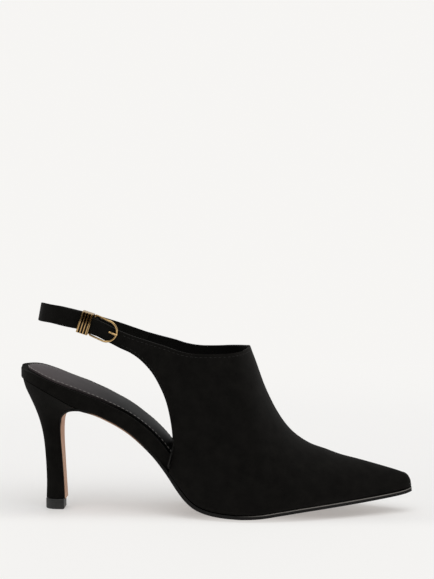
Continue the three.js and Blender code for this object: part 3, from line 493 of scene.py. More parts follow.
turned_rows = len(stations) - QUARTER_STEPS - 1
halves = []
for side, label, first in ((-1, "outer", 0), (1, "inner", tab_stations)):
    wall = grid_piece(label + "_wall", len(stations) - first, WALL_STEPS + 1, wall_place(side, first))
    # Painted highlight: the edge mark makes the topline, as far as the throat, and the back part of the
    # quarters' lower edge paler, as if their rounded edges caught the light.
    edge = wall.data.attributes.new("edge", "FLOAT", "POINT")
    edge.data.foreach_set("value", [
        float(j == WALL_STEPS and first + i <= throat_station
              or j == 0 and first + i <= TRIMMED * QUARTER_STEPS)
        for i in range(len(stations) - first) for j in range(WALL_STEPS + 1)
    ])
    halves.append(wall)
    halves.append(grid_piece(label + "_edge", turned_rows, FEATHER_STEPS + 2, feather_place(side)))
upper = join_pieces(halves, "suede_upper")
join_doubles(upper)
outside_count = len(upper.data.vertices)
apply_modifier(upper, "SOLIDIFY", thickness=WALL * MM, offset=-1)
inside = upper.data.attributes.new("inside", "FLOAT", "POINT")
inside.data.foreach_set("value", [float(i >= outside_count) for i in range(len(upper.data.vertices))])
round_edges(upper, WALL_EDGE)


def new_finish(name, color, roughness, specular=0.5):
    finish = bpy.data.materials.new(name)
    finish.use_nodes = True
    shader = finish.node_tree.nodes["Principled BSDF"]
    shader.inputs["Base Color"].default_value = (*color, 1)
    shader.inputs["Roughness"].default_value = roughness
    shader.inputs["Specular IOR Level"].default_value = specular
    return finish


def add_noise(finish, scale, detail, roughness=0.5, stretch=(1, 1, 1)):
    """A noise pattern on the piece's own place, scale per metre."""
    nodes, links = finish.node_tree.nodes, finish.node_tree.links
    place = nodes.new("ShaderNodeTexCoord")
    turn = nodes.new("ShaderNodeMapping")
    turn.inputs["Scale"].default_value = stretch
    pattern = nodes.new("ShaderNodeTexNoise")
    pattern.inputs["Scale"].default_value = scale
    pattern.inputs["Detail"].default_value = detail
    pattern.inputs["Roughness"].default_value = roughness
    links.new(place.outputs["Object"], turn.inputs["Vector"])
    links.new(turn.outputs["Vector"], pattern.inputs["Vector"])
    return pattern


def color_between(finish, pattern, dark, light, low=0.3, high=0.7):
    nodes, links = finish.node_tree.nodes, finish.node_tree.links
    ramp = nodes.new("ShaderNodeValToRGB")
    ramp.color_ramp.elements[0].position = low
    ramp.color_ramp.elements[0].color = (*dark, 1)
    ramp.color_ramp.elements[1].position = high
    ramp.color_ramp.elements[1].color = (*light, 1)
    links.new(pattern.outputs["Fac"], ramp.inputs["Fac"])
    links.new(ramp.outputs["Color"], nodes["Principled BSDF"].inputs["Base Color"])


def raise_by(finish, pattern, strength, depth):
    """Bump of a depth in millimetres, over any bump that the finish already has."""
    nodes, links = finish.node_tree.nodes, finish.node_tree.links
    bump = nodes.new("ShaderNodeBump")
    bump.inputs["Strength"].default_value = strength
    bump.inputs["Distance"].default_value = depth * MM
    links.new(pattern.outputs["Fac"], bump.inputs["Height"])
    normal = nodes["Principled BSDF"].inputs["Normal"]
    if normal.links:
        links.new(normal.links[0].from_socket, bump.inputs["Normal"])
    links.new(bump.outputs["Normal"], normal)


def rough_between(finish, pattern, low, high):
    nodes, links = finish.node_tree.nodes, finish.node_tree.links
    spread = nodes.new("ShaderNodeMapRange")
    spread.inputs["To Min"].default_value = low
    spread.inputs["To Max"].default_value = high
    links.new(pattern.outputs["Fac"], spread.inputs["Value"])
    links.new(spread.outputs["Result"], nodes["Principled BSDF"].inputs["Roughness"])


def mark_color(finish, label, color, strength):
    """Lays a colour over the finish where the piece carries a mark."""
    nodes, links = finish.node_tree.nodes, finish.node_tree.links
    mark = nodes.new("ShaderNodeAttribute")
    mark.attribute_name = label
    amount = nodes.new("ShaderNodeMath")
    amount.operation = "MULTIPLY"
    amount.inputs[1].default_value = strength
    links.new(mark.outputs["Fac"], amount.inputs[0])
    over = nodes.new("ShaderNodeMix")
    over.data_type = "RGBA"
    base = nodes["Principled BSDF"].inputs["Base Color"]
    if base.links:
        links.new(base.links[0].from_socket, over.inputs["A"])
    else:
        over.inputs["A"].default_value = base.default_value
    over.inputs["B"].default_value = (*color, 1)
    links.new(amount.outputs["Value"], over.inputs["Factor"])
    links.new(over.outputs["Result"], base)


def dress(piece, finish):
    piece.data.materials.clear()
    piece.data.materials.append(finish)
    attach(piece, "root")


suede = new_finish("black_suede", (0.003, 0.0028, 0.0025), 0.95, 0.1)
suede_shader = suede.node_tree.nodes["Principled BSDF"]
suede_shader.inputs["Sheen Weight"].default_value = 0.04
suede_shader.inputs["Sheen Roughness"].default_value = 0.45
suede_shader.inputs["Sheen Tint"].default_value = (0.75, 0.72, 0.7, 1)
nap = add_noise(suede, 140, 6, 0.65)
color_between(suede, nap, (0.0026, 0.0023, 0.0019), (0.0068, 0.0062, 0.0053))
# Painted highlight: paler suede wherever the edge mark lies, along the topline and the lower edge.
mark_color(suede, "edge", (0.018, 0.0165, 0.015), 0.8)
mark_color(suede, "inside", (0.0035, 0.0032, 0.0028), 0.8)
raise_by(suede, add_noise(suede, 2600, 3, 0.6), 0.35, 0.12)
raise_by(suede, add_noise(suede, 420, 4, 0.6), 0.25, 0.10)
dress(upper, suede)
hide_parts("upper")

# Topline stitches: one row of black thread along the topline and one along the quarters' lower
# edges, sewn through suede and lining. Sizes in millimetres, the last one in from the edge.
STITCH_LONG = 2.0
STITCH_PITCH = 2.9
STITCH_THICK = 0.3
STITCH_IN = 2.0


def spaced(spots, pitch):
    """Evenly spaced places along a line of places, each with the line's direction."""
    found, left = [], pitch / 2
    for a, b in zip(spots, spots[1:]):
        a, b = Vector(a), Vector(b)
        run = (b - a).length
        while run > 0 and left <= run:
            found.append((a + (b - a) * (left / run), (b - a).normalized()))
            left += pitch
        left -= run
    return found


def stitch_rows(name, rows, thick, finish, node):
    """Short stitches laid along rows of places given in mm, joined into one piece."""
    beads = []
    bpy.ops.object.select_all(action="DESELECT")
    for row in rows:
        for spot, run in spaced(row, STITCH_PITCH):
            place = Vector((spot.x + shift_x, spot.y + shift_y, spot.z)) * MM
            bpy.ops.mesh.primitive_uv_sphere_add(
                segments=6, ring_count=4, radius=0.5 * MM, location=place,
                rotation=run.to_track_quat("Z", "Y").to_euler(), scale=(thick, thick, STITCH_LONG),
            )
            beads.append(bpy.context.active_object)
    stitches = join_pieces(beads, name)
    bpy.ops.object.transform_apply(location=True, rotation=True, scale=True)
    bpy.ops.object.shade_smooth()
    dress(stitches, finish)
    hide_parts(node)


def edge_row(side, first, last, from_top):
    """A line on the upper's outside, a stitch margin from its topline or from its lower edge."""
    row = []
    for low_x, low_z, top_x, top_z, drop, turned in stations[first:last]:
        top_z -= drop if side > 0 else 0
        share = min(0.5, STITCH_IN / hypot(top_x - low_x, top_z - low_z))
        t = 1 - share if from_top else share
        x, z = mix(low_x, top_x, t), mix(low_z, top_z, t)
        row.append((x, last_side(x, z, side), z))
    return row


thread = new_finish("black_thread", (0.013, 0.012, 0.011), 0.6, 0.3)
stitch_rows("topline_stitches", [
    edge_row(side, tab_stations, last, from_top)
    for last, from_top in ((throat_station, True), (QUARTER_STEPS, False)) for side in (-1, 1)
], STITCH_THICK, thread, "upper")

# Insole: a shaped board wrapped in the upper's black suede, thick and stiff under the arch, with
# its rim showing round the sock lining. The upper's edge is turned in and glued below it.
BOARD = 9.0
INSOLE_INSET = WALL + 4 * GAP
INSOLE_END = 0.972
INSOLE_ROUND = 7.0
MARGIN_BEHIND = 1.5
MARGIN_STEP = 1.0
MARGIN_FREE = 0.75
BAND_PITCH = 2.2
SEAT_STEPS = 12
TIP_STEPS = 8
ACROSS = 20
INSOLE_EDGE = 0.5


def tube_piece(name, rings, loop=False, marks=None):
    """A closed skin through a row of closed rings, its open ends filled. The marks are named
    values for each place in the rings, for the material to use."""
    def closed(table):
        rows = [*table, table[0]] if loop else table
        return [[*row, row[0]] for row in rows]

    grid = closed(rings)
    piece = grid_piece(name, len(grid), len(grid[0]), lambda i, j: grid[i][j])
    for label, table in (marks or {}).items():
        mark = piece.data.attributes.new(label, "FLOAT", "POINT")
        mark.data.foreach_set("value", [value for row in closed(table) for value in row])
    join_doubles(piece)
    bpy.ops.object.mode_set(mode="EDIT")
    bpy.ops.mesh.select_all(action="SELECT")
    bpy.ops.mesh.fill_holes(sides=0)
    bpy.ops.mesh.normals_make_consistent(inside=False)
    bpy.ops.object.mode_set(mode="OBJECT")
    return piece


def insole_top(x):
    return foot_height(x) + board_share(x / LENGTH) * BOARD


def insole_bottom(x):
    step = min(1.0, max(0.0, (x - corner_x + MARGIN_BEHIND) / MARGIN_STEP))
    return foot_height(x) + step * upright(x, WALL + MARGIN_FREE)


def plan_slant(x):
    if x < SEAT_ROUND:
        return 1.0
    rise = (half_share((x + 1) / LENGTH) - half_share((x - 1) / LENGTH)) * BALL_WIDTH / 2
    return sqrt(1 + rise * rise)


def band_half(x, inset, behind, end):
    """Half width of a band laid on the last's bottom, its back end and toe end rounded."""
    reach = SEAT_ROUND - behind
    back = 1 - min(1.0, max(0.0, x - behind) / reach)
    half = half_share(x / LENGTH) * BALL_WIDTH - inset * plan_slant(x)
    return half * tip_round(x, end * LENGTH, INSOLE_ROUND) * sqrt(max(0.0, 1 - back * back))


def band_stations(behind, end):
    last = end * LENGTH - INSOLE_ROUND
    reach = SEAT_ROUND - behind
    places = [behind + reach * (1 - cos(k / SEAT_STEPS * pi / 2)) for k in range(SEAT_STEPS)]
    count = round((last - SEAT_ROUND) / BAND_PITCH)
    places += [mix(SEAT_ROUND, last, k / count) for k in range(count)]
    places += [corner_x - MARGIN_BEHIND, corner_x - MARGIN_BEHIND + MARGIN_STEP]
    places += [last + INSOLE_ROUND * sin(k / TIP_STEPS * pi / 2) for k in range(TIP_STEPS + 1)]
    return sorted(places)


def band_ring(x, half, bottom, top, dome):
    shares = [-1 + 2 * j / ACROSS for j in range(ACROSS + 1)]
    middle = foot_bend(x)
    over = [(x, middle + s * half, top + dome * (1 - s * s)) for s in shares]
    return over + [(x, middle + s * half, bottom) for s in reversed(shares)]


# Rim: how wide and high it stands, how far from the back it runs across, and where it ends.
RIM_WIDE = 1.7
RIM_BACK = 4.0
RIM_HIGH = 1.6
RIM_TO = 112.0
RIM_FADE = 8.0


def rim_ring(x):
    """The insole's ring with its rim on the far side and at the back standing a little proud."""
    half = band_half(x, INSOLE_INSET, 0, INSOLE_END)
    top, middle = insole_top(x), foot_bend(x)
    high = RIM_HIGH * min(1.0, max(0.0, (RIM_TO - x) / RIM_FADE)) * min(1.0, half / (2 * RIM_WIDE))
    inner = max(0.0, half - RIM_WIDE)
    places = [mix(-half, inner - 0.3, k / (ACROSS - 3)) for k in range(ACROSS - 2)]
    places += [inner, mix(inner, half, 0.5), half]
    ring = []
    for k, y in enumerate(places):
        proud = float(k >= ACROSS - 2)
        if x < RIM_BACK:
            proud = max(proud, min(1.0, max(0.0, 0.5 + y / (2 * half + 0.01))))
        ring.append((x, middle + y, top + high * proud))
    return ring + [(x, middle + y, insole_bottom(x)) for y in reversed(places)]


insole = tube_piece("wrapped_insole", [rim_ring(x) for x in band_stations(0, INSOLE_END)])
round_edges(insole, INSOLE_EDGE)
wrap = suede.copy()
wrap.name = "insole_suede"
dress(insole, wrap)
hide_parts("insole")

# Sock lining: thin glossy black leather over a little foam, glued on the insole inside its rim.
# It is painted paler at the seat, a painted sheen where it turns up to the light, fading out towards the
# front.
SOCK = 1.2
SOCK_DOME = 0.8
SOCK_RIM = 2.0
SOCK_BACK = 4.5
SOCK_END = 0.955
SOCK_FULL = 10.0
SOCK_EDGE = 0.45
SOCK_INSET = INSOLE_INSET + SOCK_RIM


def sock_ring(x):
    half = band_half(x, SOCK_INSET, SOCK_BACK, SOCK_END)
    bottom = insole_top(x) + upright(x, GAP)
    dome = SOCK_DOME * tip_round(x, SOCK_END * LENGTH, INSOLE_ROUND) * min(1.0, half / SOCK_FULL)
    return band_ring(x, half, bottom, bottom + upright(x, SOCK), dome)


# Painted sheen: the seat mark is 1 at the back and fades to 0 between these two places, in mm from the back.
SHEEN_PAINT_FROM = 14.0
SHEEN_PAINT_TO = 66.0
sock_places = band_stations(SOCK_BACK, SOCK_END)
painted_seat_sheen = [1 - min(1.0, max(0.0, (x - SHEEN_PAINT_FROM) / (SHEEN_PAINT_TO - SHEEN_PAINT_FROM))) for x in sock_places]
sock = tube_piece("sock_lining_leather", [sock_ring(x) for x in sock_places], marks={
    "seat": [[share] * (2 * ACROSS + 2) for share in painted_seat_sheen],
})
round_edges(sock, SOCK_EDGE)
gloss = new_finish("glossy_leather", (0.0025, 0.0023, 0.0022), 0.42, 0.04)
# Painted sheen: the seat's paler colour, laid where the seat mark lies.
mark_color(gloss, "seat", (0.080, 0.066, 0.068), 1.0)
rough_between(gloss, add_noise(gloss, 60, 4, 0.6), 0.36, 0.5)
raise_by(gloss, add_noise(gloss, 900, 3, 0.55), 0.12, 0.05)
dress(sock, gloss)
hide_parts("sock_lining")

# Sock stitches: a row of grey thread along each side of the sock lining, which holds its foam.
# They lie in from its edge and end under the vamp.
SOCK_STITCH_IN = 1.2
SOCK_STITCH_THICK = 0.5
SOCK_STITCHED = 118.0


def sock_row(side):
    row = []
    for x in sock_places:
        half = band_half(x, SOCK_INSET, SOCK_BACK, SOCK_END)
        if half < 2 * SOCK_STITCH_IN or x > SOCK_STITCHED:
            continue
        s = 1 - SOCK_STITCH_IN / half
        top = insole_top(x) + upright(x, GAP + SOCK)
        row.append((x, foot_bend(x) + side * s * half, top + SOCK_DOME * (1 - s * s)))
    return row


pale_thread = new_finish("grey_thread", (0.30, 0.285, 0.27), 0.5, 0.4)
stitch_rows(
    "sock_stitches", [sock_row(-1), sock_row(1)], SOCK_STITCH_THICK, pale_thread,
    "sock_lining",
)

# Outsole: thin tan leather from the toe to the heel and down the heel's flat front. Its edge is
# inked black in the forepart, with a fine pale line painted where it meets the upper: a painted highlight on
# the edge's top corner.
SOLE_PROUD = 0.3
ARCH_SOLE = 1.7
FLAP = 1.1
SOLE_CROWN = 2.3
ARCH_CROWN = 0.8
CROWN_WIDTH = 12.0
CROWN_PLACE = 0.57
CROWN_REACH = 0.16
SOLE_FLARE = 20.0
ARCH_INSET = 4.0
ARCH_RUN = 45.0
SOLE_TIP = TOE_ROUND + SOLE_PROUD
TOP_PIECE = 6.5
SEAT_GAP = 0.4
HEEL_BASE = TOP_PIECE + GAP
BREAST_WIDTH = 0.94
# Heel: back edge along and up, front edge along and up, half width, share of the seat's hollow.
HEEL = [
    (0.0616, 0.000, 0.1088, 0.000, 0.073, 0.0), (0.0628, 0.141, 0.1068, 0.141, 0.069, 0.0),
    (0.0606, 0.324, 0.1034, 0.324, 0.074, 0.0), (0.0557, 0.493, 0.1002, 0.500, 0.093, 0.0),
    (0.0472, 0.622, 0.1006, 0.632, 0.121, 0.0), (0.0358, 0.731, 0.1056, 0.692, 0.163, 0.1),
    (0.0220, 0.831, 0.1188, 0.735, 0.214, 0.3), (0.0105, 0.913, 0.1360, 0.762, 0.271, 0.6),
    (0.0035, 0.992, 0.1520, 0.776, 0.326, 1.0),
]
SHANK_END = 0.162
INK_FROM = 68.0
INK_RUN = 14.0
INK_BEHIND = 50.0
INK_DOWN = 0.6
PALE_FROM = 138.0
PALE_RUN = 20.0
INK_ABOVE = 52.0
INK_FADE = 5.0
SIDE_POINTS = 3
SOLE_RIM = 0.94
SOLE_EDGE = 0.35
TURN_STEPS = 8


def heel_z(share):
    return HEEL_BASE + share * (HEEL_HEIGHT - SEAT_GAP - HEEL_BASE)


def sole_path():
    """Spots down the sole's middle: along, middle, up, half width, thickness and crown."""
    tip = LENGTH + SOLE_PROUD
    places = [tip - SOLE_TIP * (1 - cos(k / 10 * pi / 2)) for k in range(10)]
    count = round((tip - SOLE_TIP - SHANK_END * LENGTH) / BAND_PITCH)
    places += [mix(tip - SOLE_TIP, SHANK_END * LENGTH, k / count) for k in range(count + 1)]
    path = []
    for x in places:
        on = min(x, LENGTH)
        forward = min(1.0, max(0.0, (x - corner_x) / SOLE_FLARE + 0.5))
        inset = INSOLE_INSET + ARCH_INSET * min(1.0, max(0.0, (corner_x - x) / ARCH_RUN))
        end = 1 - min(1.0, (tip - x) / SOLE_TIP)
        half = half_share(on / LENGTH) * BALL_WIDTH + mix(-inset, SOLE_PROUD, forward)
        half *= sqrt(max(0.0, 1 - end * end))
        ball = 1 - min(1.0, abs(x / LENGTH - CROWN_PLACE) / CROWN_REACH)
        crown = mix(ARCH_CROWN, SOLE_CROWN, sqrt(max(0.0, ball))) * min(1.0, half / CROWN_WIDTH)
        path.append((x, foot_bend(on), foot_height(on), half, mix(ARCH_SOLE, SOLE, forward), crown))
    breast = [path[-4], path[-1]]
    for row in reversed(HEEL[:-1]):
        half = row[4] * BALL_WIDTH * BREAST_WIDTH
        breast.append((row[2] * LENGTH, 0.0, heel_z(row[3]), half, FLAP, 0.0))
    steps = (len(breast) - 2) * TURN_STEPS
    return path + [tuple(through(breast, 1 + k / TURN_STEPS)) for k in range(1, steps + 1)]


sole_spots = sole_path()
sole_rings, inked, pale, trodden = [], [], [], []
for i, (x, y, z, half, thick, crown) in enumerate(sole_spots):
    before, after = sole_spots[max(i - 1, 0)], sole_spots[min(i + 1, len(sole_spots) - 1)]
    run = hypot(after[0] - before[0], after[2] - before[2])
    out_x, out_z = -(after[2] - before[2]) / run, (after[0] - before[0]) / run
    shares = [-1 + 2 * j / ACROSS for j in range(ACROSS + 1)]
    levels = [thick * k / (SIDE_POINTS + 1) for k in range(1, SIDE_POINTS + 1)]
    ring = [(s, 0.0) for s in shares]
    ring += [(1, level) for level in levels]
    ring += [(s, thick + crown * (1 - s * s)) for s in reversed(shares)]
    ring += [(-1, level) for level in reversed(levels)]
    sole_rings.append([
        (x + out_x * (GAP + away), y + s * half, max(0.0, z + out_z * (GAP + away)))
        for s, away in ring
    ])
    forepart = min(1.0, max(0.0, (x - INK_FROM) / INK_RUN))
    waist = min(1.0, max(0.0, (INK_BEHIND - x) / INK_FADE)) * min(1.0, max(0.0, (z - INK_ABOVE) / INK_FADE))
    ink = max(forepart, waist)
    inked.append([
        max(ink, float(away < INK_DOWN * thick)) if abs(s) > SOLE_RIM or away == 0 else 0.0
        for s, away in ring
    ])
    # Painted highlight: the pale mark runs along the top corners of the sole's edge, growing in from
    # PALE_FROM over PALE_RUN mm.
    line = min(1.0, max(0.0, (x - PALE_FROM) / PALE_RUN))
    pale.append([line if abs(s) == 1 and away == 0 else 0.0 for s, away in ring])
    trodden.append([forepart if abs(s) <= SOLE_RIM and away > 0 else 0.0 for s, away in ring])
outsole = tube_piece("leather_outsole", sole_rings, marks={"ink": inked, "pale": pale, "trodden": trodden})
round_edges(outsole, SOLE_EDGE)

tan = new_finish("tan_leather", (0.58, 0.36, 0.25), 0.6, 0.16)
color_between(tan, add_noise(tan, 90, 5, 0.6), (0.54, 0.32, 0.21), (0.64, 0.41, 0.29))
mark_color(tan, "trodden", (0.20, 0.165, 0.14), 0.8)
mark_color(tan, "ink", (0.008, 0.0075, 0.007), 1.0)
# Painted highlight: the pale line along the top corner of the sole's edge.
mark_color(tan, "pale", (0.30, 0.28, 0.26), 1.0)
raise_by(tan, add_noise(tan, 700, 3, 0.5), 0.12, 0.05)
dress(outsole, tan)
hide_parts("outsole")

# Heel: a moulded core covered in the same suede, with a rounded back and a flat breast, screwed
# and glued under the seat.
HEEL_ROUND = 0.69
BACK_POINTS = 12
HEEL_STEPS = 8
HEEL_EDGE = 0.4
BREAST_CORNER = [(0.80, 1.0), (0.90, 1.0), (0.955, 0.996), (0.985, 0.98), (1.0, BREAST_WIDTH)]


def seat_hollow(deep):
    """How far the seat's line lies off the straight line between its ends."""
    seat = HEEL[-1]
    x = mix(seat[0], seat[2], deep) * LENGTH
    return foot_height(x) - SEAT_GAP - mix(heel_z(seat[1]), heel_z(seat[3]), deep)


def heel_ring(row, grow=0.0):
    back, back_up, front, front_up, half, bow = row
    side = [(HEEL_ROUND * (1 - cos(k / BACK_POINTS * pi / 2)), sin(k / BACK_POINTS * pi / 2))
            for k in range(BACK_POINTS + 1)]
    side += BREAST_CORNER + [(1.0, BREAST_WIDTH * k / 4) for k in (3, 2, 1, 0)]
    ring = []
    for sign, spots in ((-1, side), (1, side[-2:0:-1])):
        for deep, wide in spots:
            x = mix(back * LENGTH - grow, front * LENGTH + grow, deep)
            z = mix(heel_z(back_up), heel_z(front_up), deep) + bow * seat_hollow(deep)
            ring.append((x, sign * wide * (half * BALL_WIDTH + grow), z))
    return ring


heel = tube_piece("covered_heel", [
    heel_ring(through(HEEL, k / HEEL_STEPS)) for k in range((len(HEEL) - 1) * HEEL_STEPS + 1)
])
round_edges(heel, HEEL_EDGE)
# A copy of the suede with less sheen, so that the heel, lit from below by the bright floor, looks as dark as
# the rest: shade painted in by a weaker sheen.
heel_suede = suede.copy()
heel_suede.name = "heel_suede"
heel_suede.node_tree.nodes["Principled BSDF"].inputs["Sheen Weight"].default_value = 0.015
dress(heel, heel_suede)
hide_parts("heel")

# Top piece: the hard dark grey plastic tip that the heel stands on, a little wider than it and
# driven into the heel's core with a pin. Its rows give height and how much wider it is there.
TOP_GROW = 0.25
TOP_SLOPE = 0.4
TOP_EDGE = 0.12
TOP_ROWS = [(0.0, -0.5), (TOP_SLOPE, 0.0), (TOP_PIECE - TOP_SLOPE, 0.0), (TOP_PIECE, -0.25)]
top_piece = tube_piece("heel_tip", [
    [(x, y, up) for x, y, z in heel_ring(HEEL[0], TOP_GROW + grow)] for up, grow in TOP_ROWS
])
round_edges(top_piece, TOP_EDGE)
plastic = new_finish("heel_tip_plastic", (0.025, 0.025, 0.024), 0.5, 0.4)
raise_by(plastic, add_noise(plastic, 900, 3, 0.5), 0.15, 0.05)
dress(top_piece, plastic)
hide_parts("top_piece")

# Heel strap: one doubled band of black suede. It is sewn inside the inner quarter, goes round
# the back of the ankle and turns over the bar of the buckle behind the tab.
STRAP_WIDTH = 11.4
STRAP_THICK = 1.6
BUCKLE_WIRE = 1.2
BUCKLE_LENGTH = 17.4
BUCKLE_WIDTH = 14.2
BUCKLE_PLACE = (0.2259, 1.1178, 19.5)
collar_half = high_share(BUCKLE_PLACE[0]) * BALL_WIDTH
bar_out = collar_half - WALL - 2 * GAP - STRAP_THICK - BUCKLE_WIRE / 2
bar_along = -(BUCKLE_LENGTH - BUCKLE_WIRE) / 2
# Along, side as a share of half the collar, up of the instep, width, lean of its upper edge.
STRAP = [
    (0.3150, 0.884, 1.0105, 0.90, 0), (0.2700, 0.884, 1.0440, 0.95, 0),
    (0.2300, 0.880, 1.0730, 1.00, 0), (0.1800, 0.860, 1.1090, 1.00, 0),
    (0.1350, 0.805, 1.1400, 1.00, 2), (0.0930, 0.690, 1.1670, 1.00, 6),
    (0.0640, 0.430, 1.1860, 1.00, 9), (0.0517, 0.000, 1.2050, 1.00, 11),
    (0.0640, -0.430, 1.2090, 1.00, 8), (0.0930, -0.675, 1.2040, 1.00, 4),
    (0.1300, -0.752, 1.1850, 1.00, 0), (0.1650, -0.745, 1.1655, 0.94, 0),
    (0.1953, -0.740, 1.1433, 0.86, 0),
]
STRAP_STEPS = 14
STRAP_EDGE = 0.5
STRAP_SOFT = 0.2
FOLD_STEPS = 12
RETURN = 5.0


def band_section(half):
    """Cross-section of the strap, outward and up, with rounded edges."""
    thick = STRAP_THICK / 2
    corner = [(thick - STRAP_EDGE * (1 - cos(k / 4 * pi / 2)), half - STRAP_EDGE * (1 - sin(k / 4 * pi / 2)))
              for k in range(5)]
    flat = [(thick, half * share) for share in (-0.6, -0.2, 0.2, 0.6)]
    outer = [(a, -b) for a, b in reversed(corner)] + flat + corner
    return outer + [(-a, b) for a, b in reversed(outer)]


def strap_spot(t):
    along, side, up, width, lean = through(STRAP, t)
    return Vector((along * LENGTH, side * collar_half, up * INSTEP)), width * STRAP_WIDTH / 2, radians(lean)


def buckle_plane(place):
    """Places in the plane of the strap's outer side: along it, across it, and outward."""
    along, up, tilt = place
    turn = radians(tilt)

    def at(a, b, out):
        x = along * LENGTH + a * cos(turn) + b * sin(turn)
        return x, -out, up * INSTEP - a * sin(turn) + b * cos(turn)

    return at


strap_rings = []
for k in range((len(STRAP) - 1) * STRAP_STEPS):
    spot, half, lean = strap_spot(k / STRAP_STEPS)
    run = (strap_spot(k / STRAP_STEPS + 0.01)[0] - spot).normalized()
    level_out = Vector((run.y, -run.x, 0)).normalized()
    level_up = level_out.cross(run).normalized()
    up = level_up * cos(lean) - level_out * sin(lean)
    out = level_out * cos(lean) + level_up * sin(lean)
    strap_rings.append([tuple(spot + out * a + up * b) for a, b in band_section(half)])
at = buckle_plane(BUCKLE_PLACE)
bend = BUCKLE_WIRE / 2 + GAP + STRAP_THICK / 2
half = STRAP[-1][3] * STRAP_WIDTH / 2
folds = [(k / FOLD_STEPS * pi, 0.0) for k in range(FOLD_STEPS + 1)] + [(pi, RETURN)]
for turn, behind in folds:
    a, out = bar_along - behind + bend * sin(turn), bar_out - bend * cos(turn)
    strap_rings.append([
        at(a - thick * sin(turn), rise, out + thick * cos(turn)) for thick, rise in band_section(half)
    ])
strap = tube_piece("suede_strap", strap_rings)
round_edges(strap, STRAP_SOFT)
dress(strap, suede)
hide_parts("sling_strap")

# Buckle frame: a gold-plated wire bow. Its bar sits in the strap's fold behind the tab, and its
# round end comes forward over the tab.
tab_out = collar_half
bow_out = tab_out + GAP + BUCKLE_WIRE / 2
BOW_RISE = 0.62
WIRE_SIDES = 16


def wire_piece(name, spots, loop=False):
    """A round wire through spots given along, across, outward and with a radius."""
    rings = []
    for i, (a, b, out, radius) in enumerate(spots):
        before = spots[i - 1] if loop or i > 0 else spots[i]
        after = spots[(i + 1) % len(spots)] if loop or i < len(spots) - 1 else spots[i]
        length = hypot(after[0] - before[0], after[1] - before[1])
        side_a, side_b = (after[1] - before[1]) / length, -(after[0] - before[0]) / length
        ring = []
        for k in range(WIRE_SIDES):
            turn = 2 * pi * k / WIRE_SIDES
            wide = cos(turn) * radius
            ring.append(at(a + side_a * wide, b + side_b * wide, out + sin(turn) * radius))
        rings.append(ring)
    return tube_piece(name, rings, loop)


bow_radius = (BUCKLE_WIDTH - BUCKLE_WIRE) / 2
bend_along = (BUCKLE_LENGTH - BUCKLE_WIRE) / 2 - bow_radius
BAR_CORNER = 0.6
CORNER_STEPS = 4
ARM_STEPS = 6
BOW_STEPS = 24
corner_turns = [k / CORNER_STEPS * pi / 2 for k in range(CORNER_STEPS + 1)]
arm_places = [mix(bar_along + BAR_CORNER, bend_along, k / ARM_STEPS) for k in range(1, ARM_STEPS)]
bow_turns = [pi / 2 - k / BOW_STEPS * pi for k in range(BOW_STEPS + 1)]
frame_path = [(bar_along, share * bow_radius) for share in (-0.7, -0.35, 0, 0.35, 0.7)]
frame_path += [(bar_along + BAR_CORNER * (1 - cos(turn)), bow_radius - BAR_CORNER * (1 - sin(turn)))
               for turn in corner_turns]
frame_path += [(a, bow_radius) for a in arm_places]
frame_path += [(bend_along + bow_radius * cos(turn), bow_radius * sin(turn)) for turn in bow_turns]
frame_path += [(a, -bow_radius) for a in reversed(arm_places)]
frame_path += [(bar_along + BAR_CORNER * (1 - sin(turn)), -bow_radius + BAR_CORNER * (1 - cos(turn)))
               for turn in corner_turns]
frame_spots = []
for a, b in frame_path:
    lift = min(1.0, (a - bar_along) / (BOW_RISE * (BUCKLE_LENGTH - BUCKLE_WIRE)))
    frame_spots.append((a, b, mix(bar_out, bow_out, lift), BUCKLE_WIRE / 2))
buckle = wire_piece("gold_buckle", frame_spots, loop=True)
bpy.ops.object.shade_smooth()
gold = new_finish("polished_gold", (0.60, 0.40, 0.18), 0.14)
gold.node_tree.nodes["Principled BSDF"].inputs["Metallic"].default_value = 1.0
rough_between(gold, add_noise(gold, 500, 3, 0.5), 0.12, 0.2)
mark_color(gold, "groove", (0.015, 0.012, 0.010), 1.0)
dress(buckle, gold)
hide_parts("buckle_frame")

# Prong: a short gold-plated pin that swings on the bar. It comes up through the tab's hole and
# rests on the bow's round end. The table gives share of the buckle's length and height.
PRONG_RADIUS = 0.6
PRONG_STEPS = 6
PRONG_EDGE = 0.15
PRONG_TIP = 0.55
on_tab = tab_out + GAP + PRONG_RADIUS
on_bow = tab_out + 2 * GAP + BUCKLE_WIRE + PRONG_RADIUS
PRONG = [
    (0.320, 0.00), (0.255, 0.15), (0.185, 0.80), (0.130, 1.00), (0.055, 1.05), (-0.023, 0.95),
]
prong_spots = []
for k in range((len(PRONG) - 1) * PRONG_STEPS + 1):
    back_share, high = through(PRONG, k / PRONG_STEPS)
    prong_spots.append((BUCKLE_LENGTH * (0.5 - back_share), 0.0, mix(on_tab, on_bow, high), PRONG_RADIUS))
tip_a, tip_b, tip_out, _ = prong_spots[-1]
prong_spots[-1] = (tip_a - 0.02, tip_b, tip_out, PRONG_RADIUS * PRONG_TIP)
prong = wire_piece("gold_prong", prong_spots)
round_edges(prong, PRONG_EDGE)
dress(prong, gold)
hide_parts("buckle_prong")

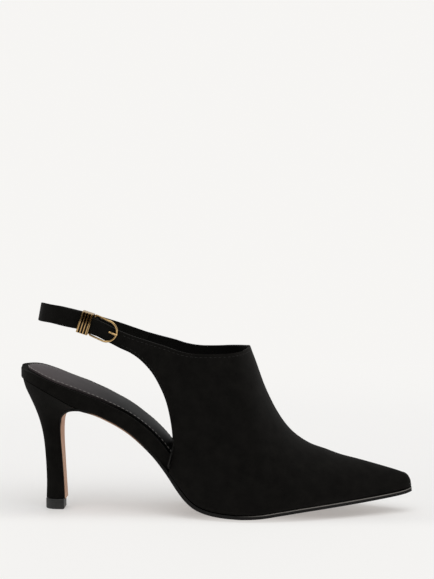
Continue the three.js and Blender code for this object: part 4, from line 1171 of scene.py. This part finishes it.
# Keeper: a gold-plated loop that slides on strap and tab and holds them together. Its outer side
# is made as four plain bars, whose section is given as share of their pitch and of their height.
KEEPER_PLACE = (0.1774, 1.1580, 18.0)
KEEPER_LENGTH = 7.2
KEEPER_METAL = 0.6
KEEPER_RIB = 0.6
KEEPER_RIBS = 4
KEEPER_FREE = 0.45
KEEPER_CORNER = 0.5
KEEPER_INSIDE_CORNER = 0.15
ARC = 0.3
RIB = [
    (0.14, 0.0), (0.20, 0.6), (0.30, 0.95), (0.42, 1.0), (0.54, 0.95), (0.64, 0.6), (0.70, 0.0), (0.96, 0.0),
]
at = buckle_plane(KEEPER_PLACE)
in_half = STRAP_WIDTH / 2 + KEEPER_FREE
inner_out = bar_out - BUCKLE_WIRE / 2 - GAP - STRAP_THICK - KEEPER_FREE
outer_out = tab_out + KEEPER_FREE


def keeper_ring(a, grow, rib):
    low, high = -in_half - grow, in_half + grow
    out, inward = outer_out + rib, inner_out - grow
    soft = KEEPER_CORNER if grow else KEEPER_INSIDE_CORNER
    return [
        at(a, low, inward + soft), at(a, low, out - soft), at(a, low + soft * ARC, out - soft * ARC),
        at(a, low + soft, out), at(a, high - soft, out), at(a, high - soft * ARC, out - soft * ARC),
        at(a, high, out - soft), at(a, high, inward + soft), at(a, high - soft, inward),
        at(a, low + soft, inward),
    ]


pitch = KEEPER_LENGTH / KEEPER_RIBS
edges = [(-KEEPER_LENGTH / 2, 0.0)]
for k in range(KEEPER_RIBS):
    edges += [((k - KEEPER_RIBS / 2 + share) * pitch, raised) for share, raised in RIB]
edges.append((KEEPER_LENGTH / 2, 0.0))
keeper_rings = [keeper_ring(a, KEEPER_METAL, KEEPER_METAL + raised * KEEPER_RIB) for a, raised in edges]
keeper_rings += [keeper_ring(a, 0.0, 0.0) for a, raised in reversed(edges)]
grooves = [[float(raised < 0.5 and 0 < i < len(edges) - 2 and 2 <= j <= 5) for j in range(10)]
           for i, (a, raised) in enumerate(edges)]
grooves += [[0.0] * 10 for a, raised in edges]
keeper = tube_piece("gold_keeper", keeper_rings, loop=True, marks={"groove": grooves})
pick(keeper)
bpy.ops.object.shade_smooth_by_angle(angle=radians(35))
dress(keeper, gold)
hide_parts("strap_keeper")
